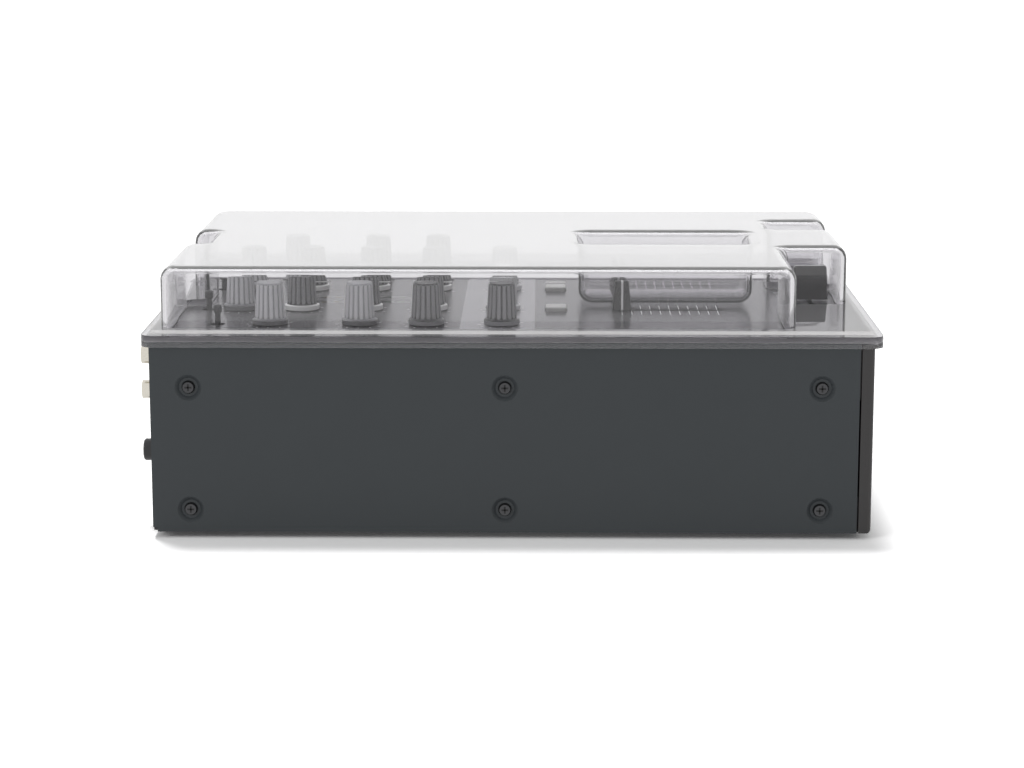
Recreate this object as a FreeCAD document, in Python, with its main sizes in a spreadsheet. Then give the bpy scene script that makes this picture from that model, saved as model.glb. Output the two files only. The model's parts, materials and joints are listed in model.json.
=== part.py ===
import FreeCAD, Part
import Sketcher
import os
import re
from FreeCAD import Placement, Rotation, Vector

# Driving dimensions in millimetres and degrees.
# X points to the player's right, Y to the rear, Z up; the floor is Z = 0.
SIZES = {
    # Case
    "body_width": 238,
    "body_depth": 320,
    "body_height": 86,
    "foot_height": 3,
    "foot_radius": 9,
    "foot_floor_radius": 8.1,
    "foot_inset": 24,
    "side_thick": 3,
    "front_thick": 5.7,
    "front_round": 2.2,
    "seam_gap": 0.8,
    "rear_thick": 1.5,
    "sheet_thick": 1.5,
    "panel_thick": 2,
    "panel_flange": 26,
    "base_flange": 16,
    "corner_notch": 2,
    # Side screws in their pressed dimples
    "screw_rear_y": 143,
    "screw_pitch_y": 140,
    "screw_low_z": 13.2,
    "screw_high_z": 68.5,
    "dimple_radius": 5.9,
    "dimple_floor_radius": 4.2,
    "dimple_depth": 1.6,
    "screw_head_radius": 3,
    "screw_crown_radius": 2.4,
    "screw_head_height": 1.5,
    "screw_radius": 1.5,
    "screw_length": 6,
    "screw_clear": 0.2,
    # Columns and rows of the controls
    "outer_x": 71,
    "channel_x": 30,
    "meter_x": 7,
    "selector_y": 144,
    "mic_switch_y": 135,
    "trim_y": 129,
    "level_y": 111,
    "high_y": 100,
    "mid_y": 70,
    "low_y": 39.5,
    "effect_y": 5,
    "cue_y": -20,
    "fader_y": -51,
    "crossfader_y": -142.5,
    # Knobs and their potentiometers
    "knob_height": 19.4,
    "knob_gap": 0.6,
    "knob_top_radius": 6,
    "knob_foot_radius": 6.9,
    "knob_skirt_radius": 8.2,
    "knob_skirt_height": 2.6,
    "knob_edge": 0.7,
    "flute_half_width": 1.5,
    "flute_depth": 0.55,
    "flute_count": 16,
    "shaft_radius": 3,
    "shaft_fit": 0.05,
    "shaft_clear": 0.4,
    "shaft_grip": 10,
    "pot_width": 12,
    "pot_length": 14,
    "pot_height": 7,
    "pot_drop": 2,
    "running_gap": 0.3,
    # Faders
    "fader_travel": 45,
    "cap_gap": 1,
    "cap_height": 13.2,
    "cap_long": 12,
    "cap_short": 9,
    "cap_top_long": 10.6,
    "cap_top_short": 6.2,
    "cross_cap_height": 16,
    "cross_cap_long": 17,
    "cross_cap_short": 8.5,
    "cross_cap_top_long": 15.4,
    "cross_cap_top_short": 5.8,
    "cap_round": 1,
    "stem_long": 4,
    "stem_short": 1.4,
    "slot_clear": 0.6,
    "carriage_long": 9,
    "carriage_short": 7,
    "carriage_height": 4,
    "frame_wall": 1,
    "frame_depth": 10,
    "frame_end": 8,
    # Buttons and levers
    "cue_width": 10,
    "cue_rise": 2.2,
    "cue_depth": 4,
    "cue_travel": 0.8,
    "cue_round": 0.8,
    "switch_width": 12,
    "lever_ball_radius": 2.6,
    "lever_ball_corner": 1.82,
    "lever_neck_radius": 1.3,
    "lever_tip_radius": 2,
    "lever_rise": 9,
    "lever_tip_height": 4,
    "lever_tip_straight": 3,
    "lever_sink": 4,
    "lever_hole_radius": 3.4,
    "lever_pin_radius": 1,
    "lever_pin_length": 7,
    "power_button_radius": 5,
    "power_button_reach": 7.5,
    "power_button_length": 24,
    "power_button_travel": 3,
    "power_inset": 30,
    "power_z": 34,
    # Level meters
    "meter_length": 62,
    "meter_width": 6,
    "meter_y": 39,
    "led_count": 10,
    "led_length": 4,
    "led_width": 2.6,
    "lens_thick": 1.2,
    # Boards
    "board_thick": 1.6,
    "board_margin": 4,
    "post_radius": 3,
    "main_board_height": 8,
    "supply_width": 76,
    "supply_depth": 120,
    "board_front_y": -36,
    "transformer_size": 40,
    "transformer_height": 34,
    "bobbin_width": 24,
    "bobbin_margin": 6.8,
    # Rear sockets
    "rca_inset": 30,
    "rca_pitch": 30,
    "rca_pairs": 5,
    "rca_high_z": 78,
    "rca_low_z": 62,
    "rca_reach": 7.5,
    "rca_radius": 4.2,
    "rca_bore_radius": 1.7,
    "rca_flange_radius": 5.6,
    "rca_flange": 1,
    "rca_block_width": 14,
    "rca_block_depth": 14,
    "jack_bore_radius": 3.25,
    "jack_bore_depth": 24,
    "jack_barrel_radius": 4.6,
    "jack_collar_radius": 7,
    "jack_collar": 2,
    "jack_body": 16,
    "jack_clear": 0.3,
    "master_inset": 49,
    "master_pitch": 26,
    "master_z": 66,
    "mic_inset": 36,
    "mic_z": 34,
    "phones_inset": 31,
    "phones_z": 34,
    "mini_pitch": 26,
    "mini_bore_radius": 1.8,
    "mini_barrel_radius": 3.4,
    "mini_collar_radius": 4.6,
    "mini_body": 10,
    "usb_x": 22,
    "usb_z": 32,
    "usb_width": 12,
    "usb_height": 11,
    "usb_depth": 16,
    "usb_mouth_width": 8.6,
    "usb_mouth_height": 7.9,
    "usb_mouth_depth": 10,
    "usb_reach": 0.6,
    "inlet_inset": 73,
    "inlet_z": 32,
    "inlet_width": 28,
    "inlet_height": 20,
    "inlet_depth": 24,
    "inlet_rim": 3,
    "inlet_rim_thick": 2,
    "inlet_mouth_width": 24.4,
    "inlet_mouth_height": 16.6,
    "inlet_mouth_depth": 17,
    "pin_pitch": 14,
    "pin_rise": 4,
    "pin_drop": 3,
    "pin_width": 2,
    "pin_height": 4,
    "pin_length": 14,
    "ground_inset": 68,
    "ground_z": 40,
    "ground_radius": 4.5,
    "ground_reach": 6,
    # Clear dust cover
    "cover_wall": 2.4,
    "cover_flange_thick": 3,
    "cover_seat": 0.3,
    "cover_overhang": 3.5,
    "cover_side_clear": 1,
    "cover_skirt": 5.2,
    "cover_corner": 6,
    "dome_rise": 30.3,
    "dome_inset": 16,
    "dome_rear_y": 157.6,
    "dome_front_y": -157,
    "dome_step_y": -127,
    "nose_half_width": 33,
    "wing_x": 60,
    "tail_half_width": 20,
    "tail_y": 147.6,
    "dome_round": 9,
    "nose_round": 6.8,
    "tail_round": 6.8,
    "crease_round": 3,
    "roof_round": 6.5,
    "recess_half_width": 20,
    "recess_front_y": -111,
    "recess_rear_y": -33,
    "recess_round": 5,
    "recess_floor_round": 4,
    "recess_gap": 1.3,
}

# Levels used by many pieces
TOP = "(foot_height + body_height)"
UNDER = "(foot_height + body_height - panel_thick)"
FLOOR = "(foot_height + sheet_thick)"
INNER_X = "(body_width / 2 - side_thick)"
REAR_Y = "(body_depth / 2)"
INNER_REAR_Y = "(body_depth / 2 - rear_thick)"
FRONT_Y = "(-body_depth / 2)"
INNER_FRONT_Y = "(-body_depth / 2 + front_thick)"
BOARD_TOP = f"({UNDER} - pot_drop - pot_height)"
POWER_X = "(power_inset - body_width / 2)"
RCA_X = "(rca_inset - body_width / 2)"
INLET_X = "(inlet_inset - body_width / 2)"
PHONES_X = "(phones_inset - body_width / 2)"
GROUND_X = "(body_width / 2 - ground_inset)"
MASTER_X = "(body_width / 2 - master_inset)"
MIC_X = "(body_width / 2 - mic_inset)"
DOME_X = "(body_width / 2 - dome_inset)"

doc = FreeCAD.newDocument("dj_mixer")
sheet = doc.addObject("Spreadsheet::Sheet", "Sizes")
for row, (alias, value) in enumerate(SIZES.items(), start=1):
    sheet.set(f"A{row}", alias)
    sheet.set(f"B{row}", str(value))
    sheet.setAlias(f"B{row}", alias)
doc.recompute()

nodes = []


def bound(text):
    """Return the expression with each named size pointing at its cell."""
    return re.sub(
        r"[a-z_]+",
        lambda word: f"Sizes.{word.group()}" if word.group() in SIZES else word.group(),
        text,
    )


def number(text):
    """Return the present value of an expression of sizes."""
    return float(sheet.evalExpression(text))


def bind(thing, prop, text):
    """Tie one property to an expression of sizes."""
    thing.setExpression(prop, bound(text))


def node(piece):
    """Keep a finished sub-part for the hand-in."""
    nodes.append(piece)
    return piece


def span(middle, size):
    """Return the two ends of a stretch of a size about its middle."""
    return f"({middle}) - ({size}) / 2", f"({middle}) + ({size}) / 2"


# Solids


def block(name, x_span, y_span, z_span):
    """A rectangular block between pairs of planes."""
    solid = doc.addObject("Part::Box", name)
    for size, letter, (low, high) in zip(
        ("Length", "Width", "Height"), "xyz", (x_span, y_span, z_span)
    ):
        bind(solid, size, f"({high}) - ({low})")
        bind(solid, f"Placement.Base.{letter}", low)
    return solid


TURN = {
    "X": Rotation(Vector(0, 1, 0), 90),
    "Y": Rotation(Vector(1, 0, 0), -90),
    "Z": Rotation(),
}


def aim(solid, axis, centre, low):
    """Lay a round solid along an axis, from its low end."""
    solid.Placement = Placement(Vector(), TURN[axis])
    across = [letter for letter in "xyz" if letter != axis.lower()]
    for letter, place in zip(across, centre):
        bind(solid, f"Placement.Base.{letter}", place)
    bind(solid, f"Placement.Base.{axis.lower()}", low)


def rod(name, axis, centre, ends, radius):
    """A cylinder along an axis between two planes."""
    solid = doc.addObject("Part::Cylinder", name)
    low, high = ends
    aim(solid, axis, centre, low)
    bind(solid, "Radius", radius)
    bind(solid, "Height", f"({high}) - ({low})")
    return solid


def cone(name, axis, centre, ends, low_radius, high_radius):
    """A cut cone along an axis between two planes."""
    solid = doc.addObject("Part::Cone", name)
    low, high = ends
    aim(solid, axis, centre, low)
    bind(solid, "Radius1", low_radius)
    bind(solid, "Radius2", high_radius)
    bind(solid, "Height", f"({high}) - ({low})")
    return solid


def fused(name, *solids):
    """One solid from several that touch, or one set of cutters."""
    union = doc.addObject("Part::MultiFuse", name)
    union.Shapes = list(solids)
    return union


def cut(name, base, *tools):
    """A solid with other solids taken out of it."""
    piece = doc.addObject("Part::Cut", name)
    piece.Base = base
    piece.Tool = tools[0] if len(tools) == 1 else fused(f"{name}_cutters", *tools)
    return piece


def group(name, solids):
    """Separate solids that share one node."""
    together = doc.addObject("Part::Compound", name)
    together.Links = list(solids)
    return together


# Sketches and features


def new_body(name):
    """A body of sketches and features."""
    return doc.addObject("PartDesign::Body", name)


def origin_feature(body, role):
    """Return one of a body's own origin planes or axes."""
    return next(part for part in body.Origin.OriginFeatures if part.Role == role)


def sketch_on(body, name, role, offset="0"):
    """A sketch on one of the body's origin planes, moved along its normal."""
    sketch = body.newObject("Sketcher::SketchObject", name)
    sketch.AttachmentSupport = [(origin_feature(body, role), "")]
    sketch.MapMode = "FlatFace"
    bind(sketch, "AttachmentOffset.Base.z", offset)
    return sketch


def pin_point(sketch, curve, end, x, y):
    """Tie a sketch point to two expressions measured from the origin."""
    for kind, axis, text in (("DistanceX", -2, x), ("DistanceY", -1, y)):
        if text == "0":
            sketch.addConstraint(Sketcher.Constraint("PointOnObject", curve, end, axis))
            continue
        index = sketch.addConstraint(
            Sketcher.Constraint(kind, -1, 1, curve, end, number(text))
        )
        bind(sketch, f"Constraints[{index}]", text)


def outline(sketch, points):
    """A closed run of straight lines through points given as expressions."""
    places = [Vector(number(x), number(y), 0) for x, y in points]
    following = places[1:] + places[:1]
    first = sketch.GeometryCount
    for start, end in zip(places, following):
        sketch.addGeometry(Part.LineSegment(start, end))
    count = len(points)
    for step in range(count):
        here = first + step
        after = first + (step + 1) % count
        sketch.addConstraint(Sketcher.Constraint("Coincident", here, 2, after, 1))
    for step, (x, y) in enumerate(points):
        pin_point(sketch, first + step, 1, x, y)


def rectangle(sketch, x_span, y_span):
    """A rectangle between two pairs of lines."""
    (left, right), (low, high) = x_span, y_span
    outline(sketch, [(left, low), (right, low), (right, high), (left, high)])


def circle(sketch, x, y, radius):
    """A circle of a bound radius at a bound centre."""
    shape = Part.Circle(Vector(number(x), number(y), 0), Vector(0, 0, 1), number(radius))
    curve = sketch.addGeometry(shape)
    pin_point(sketch, curve, 3, x, y)
    index = sketch.addConstraint(Sketcher.Constraint("Radius", curve, number(radius)))
    bind(sketch, f"Constraints[{index}]", radius)


def extrude(body, kind, name, sketch, length, reverse=False, both_ways=False):
    """A pad or a pocket of a sketch."""
    feature = body.newObject(f"PartDesign::{kind}", name)
    feature.Profile = sketch
    feature.Reversed = reverse
    feature.SideType = "Symmetric" if both_ways else "One side"
    bind(feature, "Length", length)
    return feature


def rounded(body, name, base, chosen, radius):
    """Round the edges of a feature that a test picks out."""
    doc.recompute()
    edges = [
        f"Edge{index}" for index, edge in enumerate(base.Shape.Edges, start=1) if chosen(edge)
    ]
    fillet = body.newObject("PartDesign::Fillet", name)
    fillet.Base = (base, edges)
    bind(fillet, "Radius", radius)
    return fillet


def is_upright(edge):
    """Tell whether an edge is a straight line along Z."""
    low, high = edge.BoundBox.ZMin, edge.BoundBox.ZMax
    return edge.BoundBox.DiagonalLength - (high - low) < 1e-6


def lies_at(edge, height):
    """Tell whether an edge lies wholly in one level plane."""
    box = edge.BoundBox
    return abs(box.ZMin - height) < 1e-4 and abs(box.ZMax - height) < 1e-4


def level_at(height):
    """Return a test for the edges in one level plane."""
    return lambda edge: lies_at(edge, height)


def upright_at(places):
    """Return a test for the upright edges that stand at the given places."""
    spots = [(number(x), number(y)) for x, y in places]

    def chosen(edge):
        here = edge.CenterOfMass
        near = any(abs(here.x - x) + abs(here.y - y) < 1e-3 for x, y in spots)
        return near and is_upright(edge)

    return chosen


def lofted(body, name, kind, low_sketch, high_sketch):
    """A loft between two sketches."""
    loft = body.newObject(f"PartDesign::{kind}", name)
    loft.Profile = low_sketch
    loft.Sections = [high_sketch]
    loft.Ruled = True
    return loft


# Controls: name, column, row

KNOBS = [
    ("mic_level_knob", "-outer_x", "level_y"),
    ("mic_tone_knob", "-outer_x", "mid_y"),
    ("phones_mix_knob", "-outer_x", "low_y"),
    ("phones_level_knob", "-outer_x", "effect_y"),
    ("master_level_knob", "outer_x", "level_y"),
    ("booth_level_knob", "outer_x", "mid_y"),
    ("monitor_tone_knob", "outer_x", "low_y"),
]
for channel, side in (("1", "-channel_x"), ("2", "channel_x")):
    for role in ("trim", "high", "mid", "low", "effect"):
        KNOBS.append((f"{role}_knob_{channel}", side, f"{role}_y"))

LEVERS = [
    ("mic_switch_lever", "-outer_x", "mic_switch_y"),
    ("input_selector_1", "-channel_x", "selector_y"),
    ("input_selector_2", "channel_x", "selector_y"),
    ("effect_switch_lever", "outer_x", "effect_y"),
]

CUE_BUTTONS = [("cue_button_1", "-channel_x"), ("cue_button_2", "channel_x")]
CHANNEL_FADERS = [("channel_1_fader", "-channel_x"), ("channel_2_fader", "channel_x")]
SLOT_LONG = "(fader_travel + stem_long + 2 * slot_clear)"
SLOT_SHORT = "(stem_short + 2 * slot_clear)"
CHANNEL_SLOT_Y = "(fader_y - fader_travel / 2)"
SCREW_ROWS = ["screw_rear_y", "(screw_rear_y - screw_pitch_y)", "(screw_rear_y - 2 * screw_pitch_y)"]
SCREW_LEVELS = ["screw_low_z", "screw_high_z"]


# Case


def sheet_channel(name, lip_z, web_z, turned_up):
    """A folded sheet: a flat web with a flange along each long side."""
    body = new_body(name)
    profile = sketch_on(body, f"{name}_profile", "XZ_Plane", f"-{INNER_REAR_Y}")
    thick = "sheet_thick" if turned_up else "-panel_thick"
    inner = f"({INNER_X} - sheet_thick)"
    outline(
        profile,
        [
            (f"-{INNER_X}", lip_z),
            (f"-{INNER_X}", web_z),
            (INNER_X, web_z),
            (INNER_X, lip_z),
            (inner, lip_z),
            (inner, f"{web_z} + {thick}"),
            (f"-{inner}", f"{web_z} + {thick}"),
            (f"-{inner}", lip_z),
        ],
    )
    extrude(body, "Pad", f"{name}_fold", profile, f"{INNER_REAR_Y} - {INNER_FRONT_Y}")
    holes = sketch_on(body, f"{name}_screw_holes", "YZ_Plane")
    for row in SCREW_ROWS:
        level = "screw_low_z" if turned_up else "screw_high_z"
        circle(holes, row, level, "screw_radius + shaft_fit")
    extrude(body, "Pocket", f"{name}_drill", holes, "body_width", both_ways=True)
    return body


def chassis_base():
    """The folded steel tray that everything stands on."""
    return sheet_channel("chassis_base", "(foot_height + base_flange)", "foot_height", True)


def top_panel():
    """The control panel, folded down at both sides and pierced for the controls."""
    name = "top_panel"
    body = sheet_channel(name, f"({TOP} - panel_flange)", TOP, False)
    openings = sketch_on(body, f"{name}_openings", "XY_Plane", TOP)
    for _, x, y in KNOBS:
        circle(openings, x, y, "shaft_radius + shaft_clear")
    for _, x, y in LEVERS:
        circle(openings, x, y, "lever_hole_radius")
    for _, x in CUE_BUTTONS:
        size = "cue_width + 2 * running_gap"
        rectangle(openings, span(x, size), span("cue_y", size))
    for _, x in CHANNEL_FADERS:
        rectangle(openings, span(x, SLOT_SHORT), span(CHANNEL_SLOT_Y, SLOT_LONG))
    rectangle(openings, span("0", SLOT_LONG), span("crossfader_y", SLOT_SHORT))
    for x in ("-meter_x", "meter_x"):
        rectangle(openings, span(x, "meter_width"), ("meter_y", "meter_y + meter_length"))
    extrude(body, "Pocket", f"{name}_pierce", openings, "2 * panel_thick")
    return body


def side_panel(name, outer_x, inner_x, inward):
    """A side plate with six dimples that take the screw heads."""
    plate = new_body(f"{name}_plate")
    profile = sketch_on(plate, f"{name}_profile", "YZ_Plane", f"{inner_x}")
    front = f"({INNER_FRONT_Y} + seam_gap)"
    step_y = f"({REAR_Y} - corner_notch)"
    step_z = "(foot_height + corner_notch)"
    outline(
        profile,
        [
            (front, "foot_height"),
            (step_y, "foot_height"),
            (step_y, step_z),
            (REAR_Y, step_z),
            (REAR_Y, TOP),
            (front, TOP),
        ],
    )
    extrude(plate, "Pad", f"{name}_pad", profile, "side_thick", reverse=inward > 0)
    floor_x = f"({outer_x} + {inward} * dimple_depth)"
    cutters = []
    for row in SCREW_ROWS:
        for level in SCREW_LEVELS:
            tag = f"{name}_{len(cutters)}"
            if inward > 0:
                ends, radii = (outer_x, floor_x), ("dimple_radius", "dimple_floor_radius")
                through = (outer_x, inner_x)
            else:
                ends, radii = (floor_x, outer_x), ("dimple_floor_radius", "dimple_radius")
                through = (inner_x, outer_x)
            dimple = cone(f"{tag}_dimple", "X", (row, level), ends, *radii)
            hole = rod(f"{tag}_hole", "X", (row, level), through, "screw_radius + screw_clear")
            cutters += [dimple, hole]
    return cut(name, plate, *cutters)


def side_screws():
    """Twelve pan head screws, heads seated on the dimple floors."""
    screws = []
    for side, inward in (("-body_width / 2", 1), ("body_width / 2", -1)):
        seat = f"({side} + {inward} * dimple_depth)"
        crown = f"({seat} - {inward} * screw_head_height)"
        end = f"({seat} + {inward} * screw_length)"
        for row in SCREW_ROWS:
            for level in SCREW_LEVELS:
                tag = f"side_screw_{len(screws)}"
                head_ends = (crown, seat) if inward > 0 else (seat, crown)
                shank_ends = (seat, end) if inward > 0 else (end, seat)
                radii = ("screw_crown_radius", "screw_head_radius")
                if inward < 0:
                    radii = radii[::-1]
                head = cone(f"{tag}_head", "X", (row, level), head_ends, *radii)
                shank = rod(f"{tag}_shank", "X", (row, level), shank_ends, "screw_radius")
                screws.append(fused(tag, head, shank))
    return group("side_screws", screws)


def front_panel():
    """The thick front plate, rounded on its outer edges, drilled for the phone sockets."""
    body = new_body("front_panel")
    profile = sketch_on(body, "front_panel_outline", "XZ_Plane", f"-{INNER_FRONT_Y}")
    rectangle(profile, ("-body_width / 2", "body_width / 2"), ("foot_height", TOP))
    plate = extrude(body, "Pad", "front_panel_plate", profile, "front_thick")
    holes = sketch_on(body, "front_panel_holes", "XZ_Plane")
    circle(holes, PHONES_X, "phones_z", "jack_barrel_radius + jack_clear")
    circle(holes, f"{PHONES_X} + mini_pitch", "phones_z", "mini_barrel_radius + jack_clear")
    drilled = extrude(
        body, "Pocket", "front_panel_drill", holes, "2 * body_depth", both_ways=True
    )
    face_y = number(FRONT_Y)

    def is_outer(edge):
        box = edge.BoundBox
        straight = len(edge.Vertexes) == 2 and box.DiagonalLength > number("body_height") / 2
        return straight and abs(box.YMin - face_y) < 1e-4 and abs(box.YMax - face_y) < 1e-4

    rounded(body, "front_panel_round", drilled, is_outer, "front_round")
    return body


def rear_panel():
    """The rear plate, cut out for the sockets."""
    body = new_body("rear_panel")
    profile = sketch_on(body, "rear_panel_outline", "XZ_Plane", f"-{REAR_Y}")
    rectangle(profile, (f"-{INNER_X}", INNER_X), ("foot_height", TOP))
    extrude(body, "Pad", "rear_panel_plate", profile, "rear_thick")
    holes = sketch_on(body, "rear_panel_holes", "XZ_Plane", f"-{REAR_Y}")
    for x, z in RCA_PLACES:
        circle(holes, x, z, "rca_radius + jack_clear")
    for _, x, z in REAR_JACKS:
        circle(holes, x, z, "jack_barrel_radius + jack_clear")
    circle(holes, POWER_X, "power_z", "power_button_radius + running_gap")
    circle(holes, GROUND_X, "ground_z", "screw_radius + screw_clear")
    for place, width, height in (
        (("usb_x", "usb_z"), "usb_width", "usb_height"),
        ((INLET_X, "inlet_z"), "inlet_width", "inlet_height"),
    ):
        rectangle(
            holes,
            span(place[0], f"{width} + 2 * jack_clear"),
            span(place[1], f"{height} + 2 * jack_clear"),
        )
    extrude(body, "Pocket", "rear_panel_drill", holes, "2 * rear_thick", reverse=True)
    return body


def feet():
    """Four rubber feet under the tray, narrower at the floor."""
    solids = []
    for side in (-1, 1):
        for end in (-1, 1):
            x = f"{side} * (body_width / 2 - foot_inset)"
            y = f"{end} * (body_depth / 2 - foot_inset)"
            tag = f"foot_{len(solids)}"
            ends = ("0", "foot_height")
            solids.append(cone(tag, "Z", (x, y), ends, "foot_floor_radius", "foot_radius"))
    return group("feet", solids)


# Knobs, potentiometers and the control board


def groove(sketch, radius):
    """The three-sided section of one flute at a knob's radius."""
    outer = f"{radius} + flute_depth"
    floor = (f"{radius} - flute_depth", "0")
    outline(sketch, [(outer, "-flute_half_width"), (outer, "flute_half_width"), floor])


def knob(name, x, y):
    """A fluted, tapered knob with a skirt, pushed on a shaft that turns with it."""
    body = new_body(f"{name}_cap")
    profile = sketch_on(body, f"{name}_profile", "XZ_Plane")
    skirt_top = "(knob_gap + knob_skirt_height)"
    bore = "(shaft_radius + shaft_fit)"
    bore_top = "(knob_gap + shaft_grip)"
    outline(
        profile,
        [
            (bore, "knob_gap"),
            ("knob_skirt_radius", "knob_gap"),
            ("knob_skirt_radius", f"{skirt_top} - knob_edge"),
            ("knob_foot_radius", skirt_top),
            ("knob_top_radius", "knob_height - knob_edge"),
            ("knob_top_radius - knob_edge", "knob_height"),
            ("0", "knob_height"),
            ("0", bore_top),
            (bore, bore_top),
        ],
    )
    turned = body.newObject("PartDesign::Revolution", f"{name}_turned")
    turned.Profile = profile
    turned.ReferenceAxis = (profile, ["V_Axis"])
    turned.Angle = 360
    low = sketch_on(body, f"{name}_flute_low", "XY_Plane", skirt_top)
    groove(low, "knob_foot_radius")
    high = sketch_on(body, f"{name}_flute_high", "XY_Plane", "knob_height + knob_edge")
    groove(high, "knob_top_radius")
    flute = lofted(body, f"{name}_flute", "SubtractiveLoft", low, high)
    flutes = body.newObject("PartDesign::PolarPattern", f"{name}_flutes")
    flutes.Originals = [flute]
    flutes.Axis = (origin_feature(body, "Z_Axis"), [""])
    flutes.Angle = 360
    bind(flutes, "Occurrences", "flute_count")
    body.Tip = flutes
    for letter, place in zip("xyz", (x, y, TOP)):
        bind(body, f"Placement.Base.{letter}", place)
    shaft_low = f"({UNDER} - pot_drop + running_gap)"
    shaft = rod(f"{name}_shaft", "Z", (x, y), (shaft_low, f"{TOP} + {bore_top}"), "shaft_radius")
    return group(name, [body, shaft])


def potentiometers():
    """One potentiometer body under each knob, standing on the control board."""
    solids = []
    for name, x, y in KNOBS:
        levels = (BOARD_TOP, f"{UNDER} - pot_drop")
        solids.append(block(f"{name}_pot", span(x, "pot_width"), span(y, "pot_length"), levels))
    return group("potentiometers", solids)


BOARD_X = f"({INNER_X} - sheet_thick - board_margin)"


def control_board():
    """The circuit board that carries the potentiometers and switches."""
    levels = (f"{BOARD_TOP} - board_thick", BOARD_TOP)
    ends = ("board_front_y", f"{INNER_REAR_Y} - board_margin")
    return block("control_board", (f"-{BOARD_X}", BOARD_X), ends, levels)


def panel_posts():
    """Posts that hang the control board from the panel."""
    solids = []
    for x in (f"-{BOARD_X} + 2 * post_radius", "0", f"{BOARD_X} - 2 * post_radius"):
        for y in ("board_front_y + 2 * post_radius", "trim_y"):
            tag = f"panel_post_{len(solids)}"
            solids.append(rod(tag, "Z", (x, y), (BOARD_TOP, UNDER), "post_radius"))
    return group("panel_posts", solids)


# Faders


def fader_cap(name, height, x_sizes, y_sizes):
    """A tapered fader cap with rounded edges, drawn lying down and stood upright."""
    body = new_body(name)
    wedge = body.newObject("PartDesign::AdditiveWedge", f"{name}_wedge")
    for letter, (foot, crown) in (("X", x_sizes), ("Z", y_sizes)):
        for prop, size in ((letter, foot), (f"{letter}2", crown)):
            bind(wedge, f"{prop}min", f"-{size} / 2")
            bind(wedge, f"{prop}max", f"{size} / 2")
    bind(wedge, "Ymin", "0")
    bind(wedge, "Ymax", height)
    middle = number(height) / 2
    rounded(body, f"{name}_round", wedge, lambda edge: edge.BoundBox.YMax > middle, "cap_round")
    body.Placement = Placement(Vector(), Rotation(Vector(1, 0, 0), 90))
    return body


def fader(name, x, y, along_x):
    """A cap on a stem whose carriage runs in the fader frame."""
    if along_x:
        sizes = ("cross_cap_short", "cross_cap_top_short"), ("cross_cap_long", "cross_cap_top_long")
        height = "cross_cap_height"
    else:
        sizes = ("cap_long", "cap_top_long"), ("cap_short", "cap_top_short")
        height = "cap_height"
    cap = fader_cap(f"{name}_cap", height, *sizes)
    for letter, place in zip("xyz", (x, y, f"{TOP} + cap_gap")):
        bind(cap, f"Placement.Base.{letter}", place)
    stem = ("stem_long", "stem_short") if along_x else ("stem_short", "stem_long")
    carriage = ("carriage_long", "carriage_short")
    if not along_x:
        carriage = carriage[::-1]
    carriage_top = f"({UNDER} - frame_wall - running_gap)"
    blade = block(
        f"{name}_blade",
        span(x, stem[0]),
        span(y, stem[1]),
        (f"{carriage_top} - carriage_height / 2", f"{TOP} + cap_gap"),
    )
    runner = block(
        f"{name}_runner",
        span(x, carriage[0]),
        span(y, carriage[1]),
        (f"{carriage_top} - carriage_height", carriage_top),
    )
    return group(name, [cap, fused(f"{name}_slider", blade, runner)])


def fader_frame(name, x, y, along_x):
    """The folded metal frame under a fader's slot, open along the slot."""
    inside = "(carriage_short + 2 * running_gap)"
    run = "(fader_travel + carriage_long + 2 * running_gap)"
    outside = f"({inside} + 2 * frame_wall)"
    whole = f"({run} + 2 * frame_end)"
    low = f"({UNDER} - frame_depth)"
    sizes = [(whole, outside), (run, inside), (SLOT_LONG, SLOT_SHORT)]
    if not along_x:
        sizes = [pair[::-1] for pair in sizes]
    shell, hollow, slot = sizes
    hollow_levels = (f"{low} + frame_wall", f"{UNDER} - frame_wall")
    return cut(
        name,
        block(f"{name}_shell", span(x, shell[0]), span(y, shell[1]), (low, UNDER)),
        block(f"{name}_hollow", span(x, hollow[0]), span(y, hollow[1]), hollow_levels),
        block(
            f"{name}_slot",
            span(x, slot[0]),
            span(y, slot[1]),
            (f"{UNDER} - 2 * frame_wall", f"{UNDER} + frame_wall"),
        ),
    )


def fader_frames():
    """The frames of both channel faders and of the crossfader."""
    frames = [fader_frame(f"{name}_frame", x, CHANNEL_SLOT_Y, False) for name, x in CHANNEL_FADERS]
    frames.append(fader_frame("crossfader_frame", "0", "crossfader_y", True))
    return group("fader_frames", frames)


# Buttons, levers and their switches


def cue_button(name, x):
    """A square push button that stands a little above the panel."""
    body = new_body(name)
    profile = sketch_on(body, f"{name}_outline", "XY_Plane", f"{TOP} - cue_depth")
    rectangle(profile, span(x, "cue_width"), span("cue_y", "cue_width"))
    pad = extrude(body, "Pad", f"{name}_pad", profile, "cue_depth + cue_rise")
    rise = number(f"{TOP} + cue_rise")
    rounded(
        body,
        f"{name}_round",
        pad,
        lambda edge: is_upright(edge) or lies_at(edge, rise),
        "cue_round",
    )
    return body


def cue_switches():
    """The switch bodies under the push buttons."""
    solids = []
    for name, x in CUE_BUTTONS:
        levels = (BOARD_TOP, f"{TOP} - cue_depth - cue_travel - shaft_fit")
        size = "switch_width"
        solids.append(block(f"{name}_switch", span(x, size), span("cue_y", size), levels))
    return group("cue_switches", solids)


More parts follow.
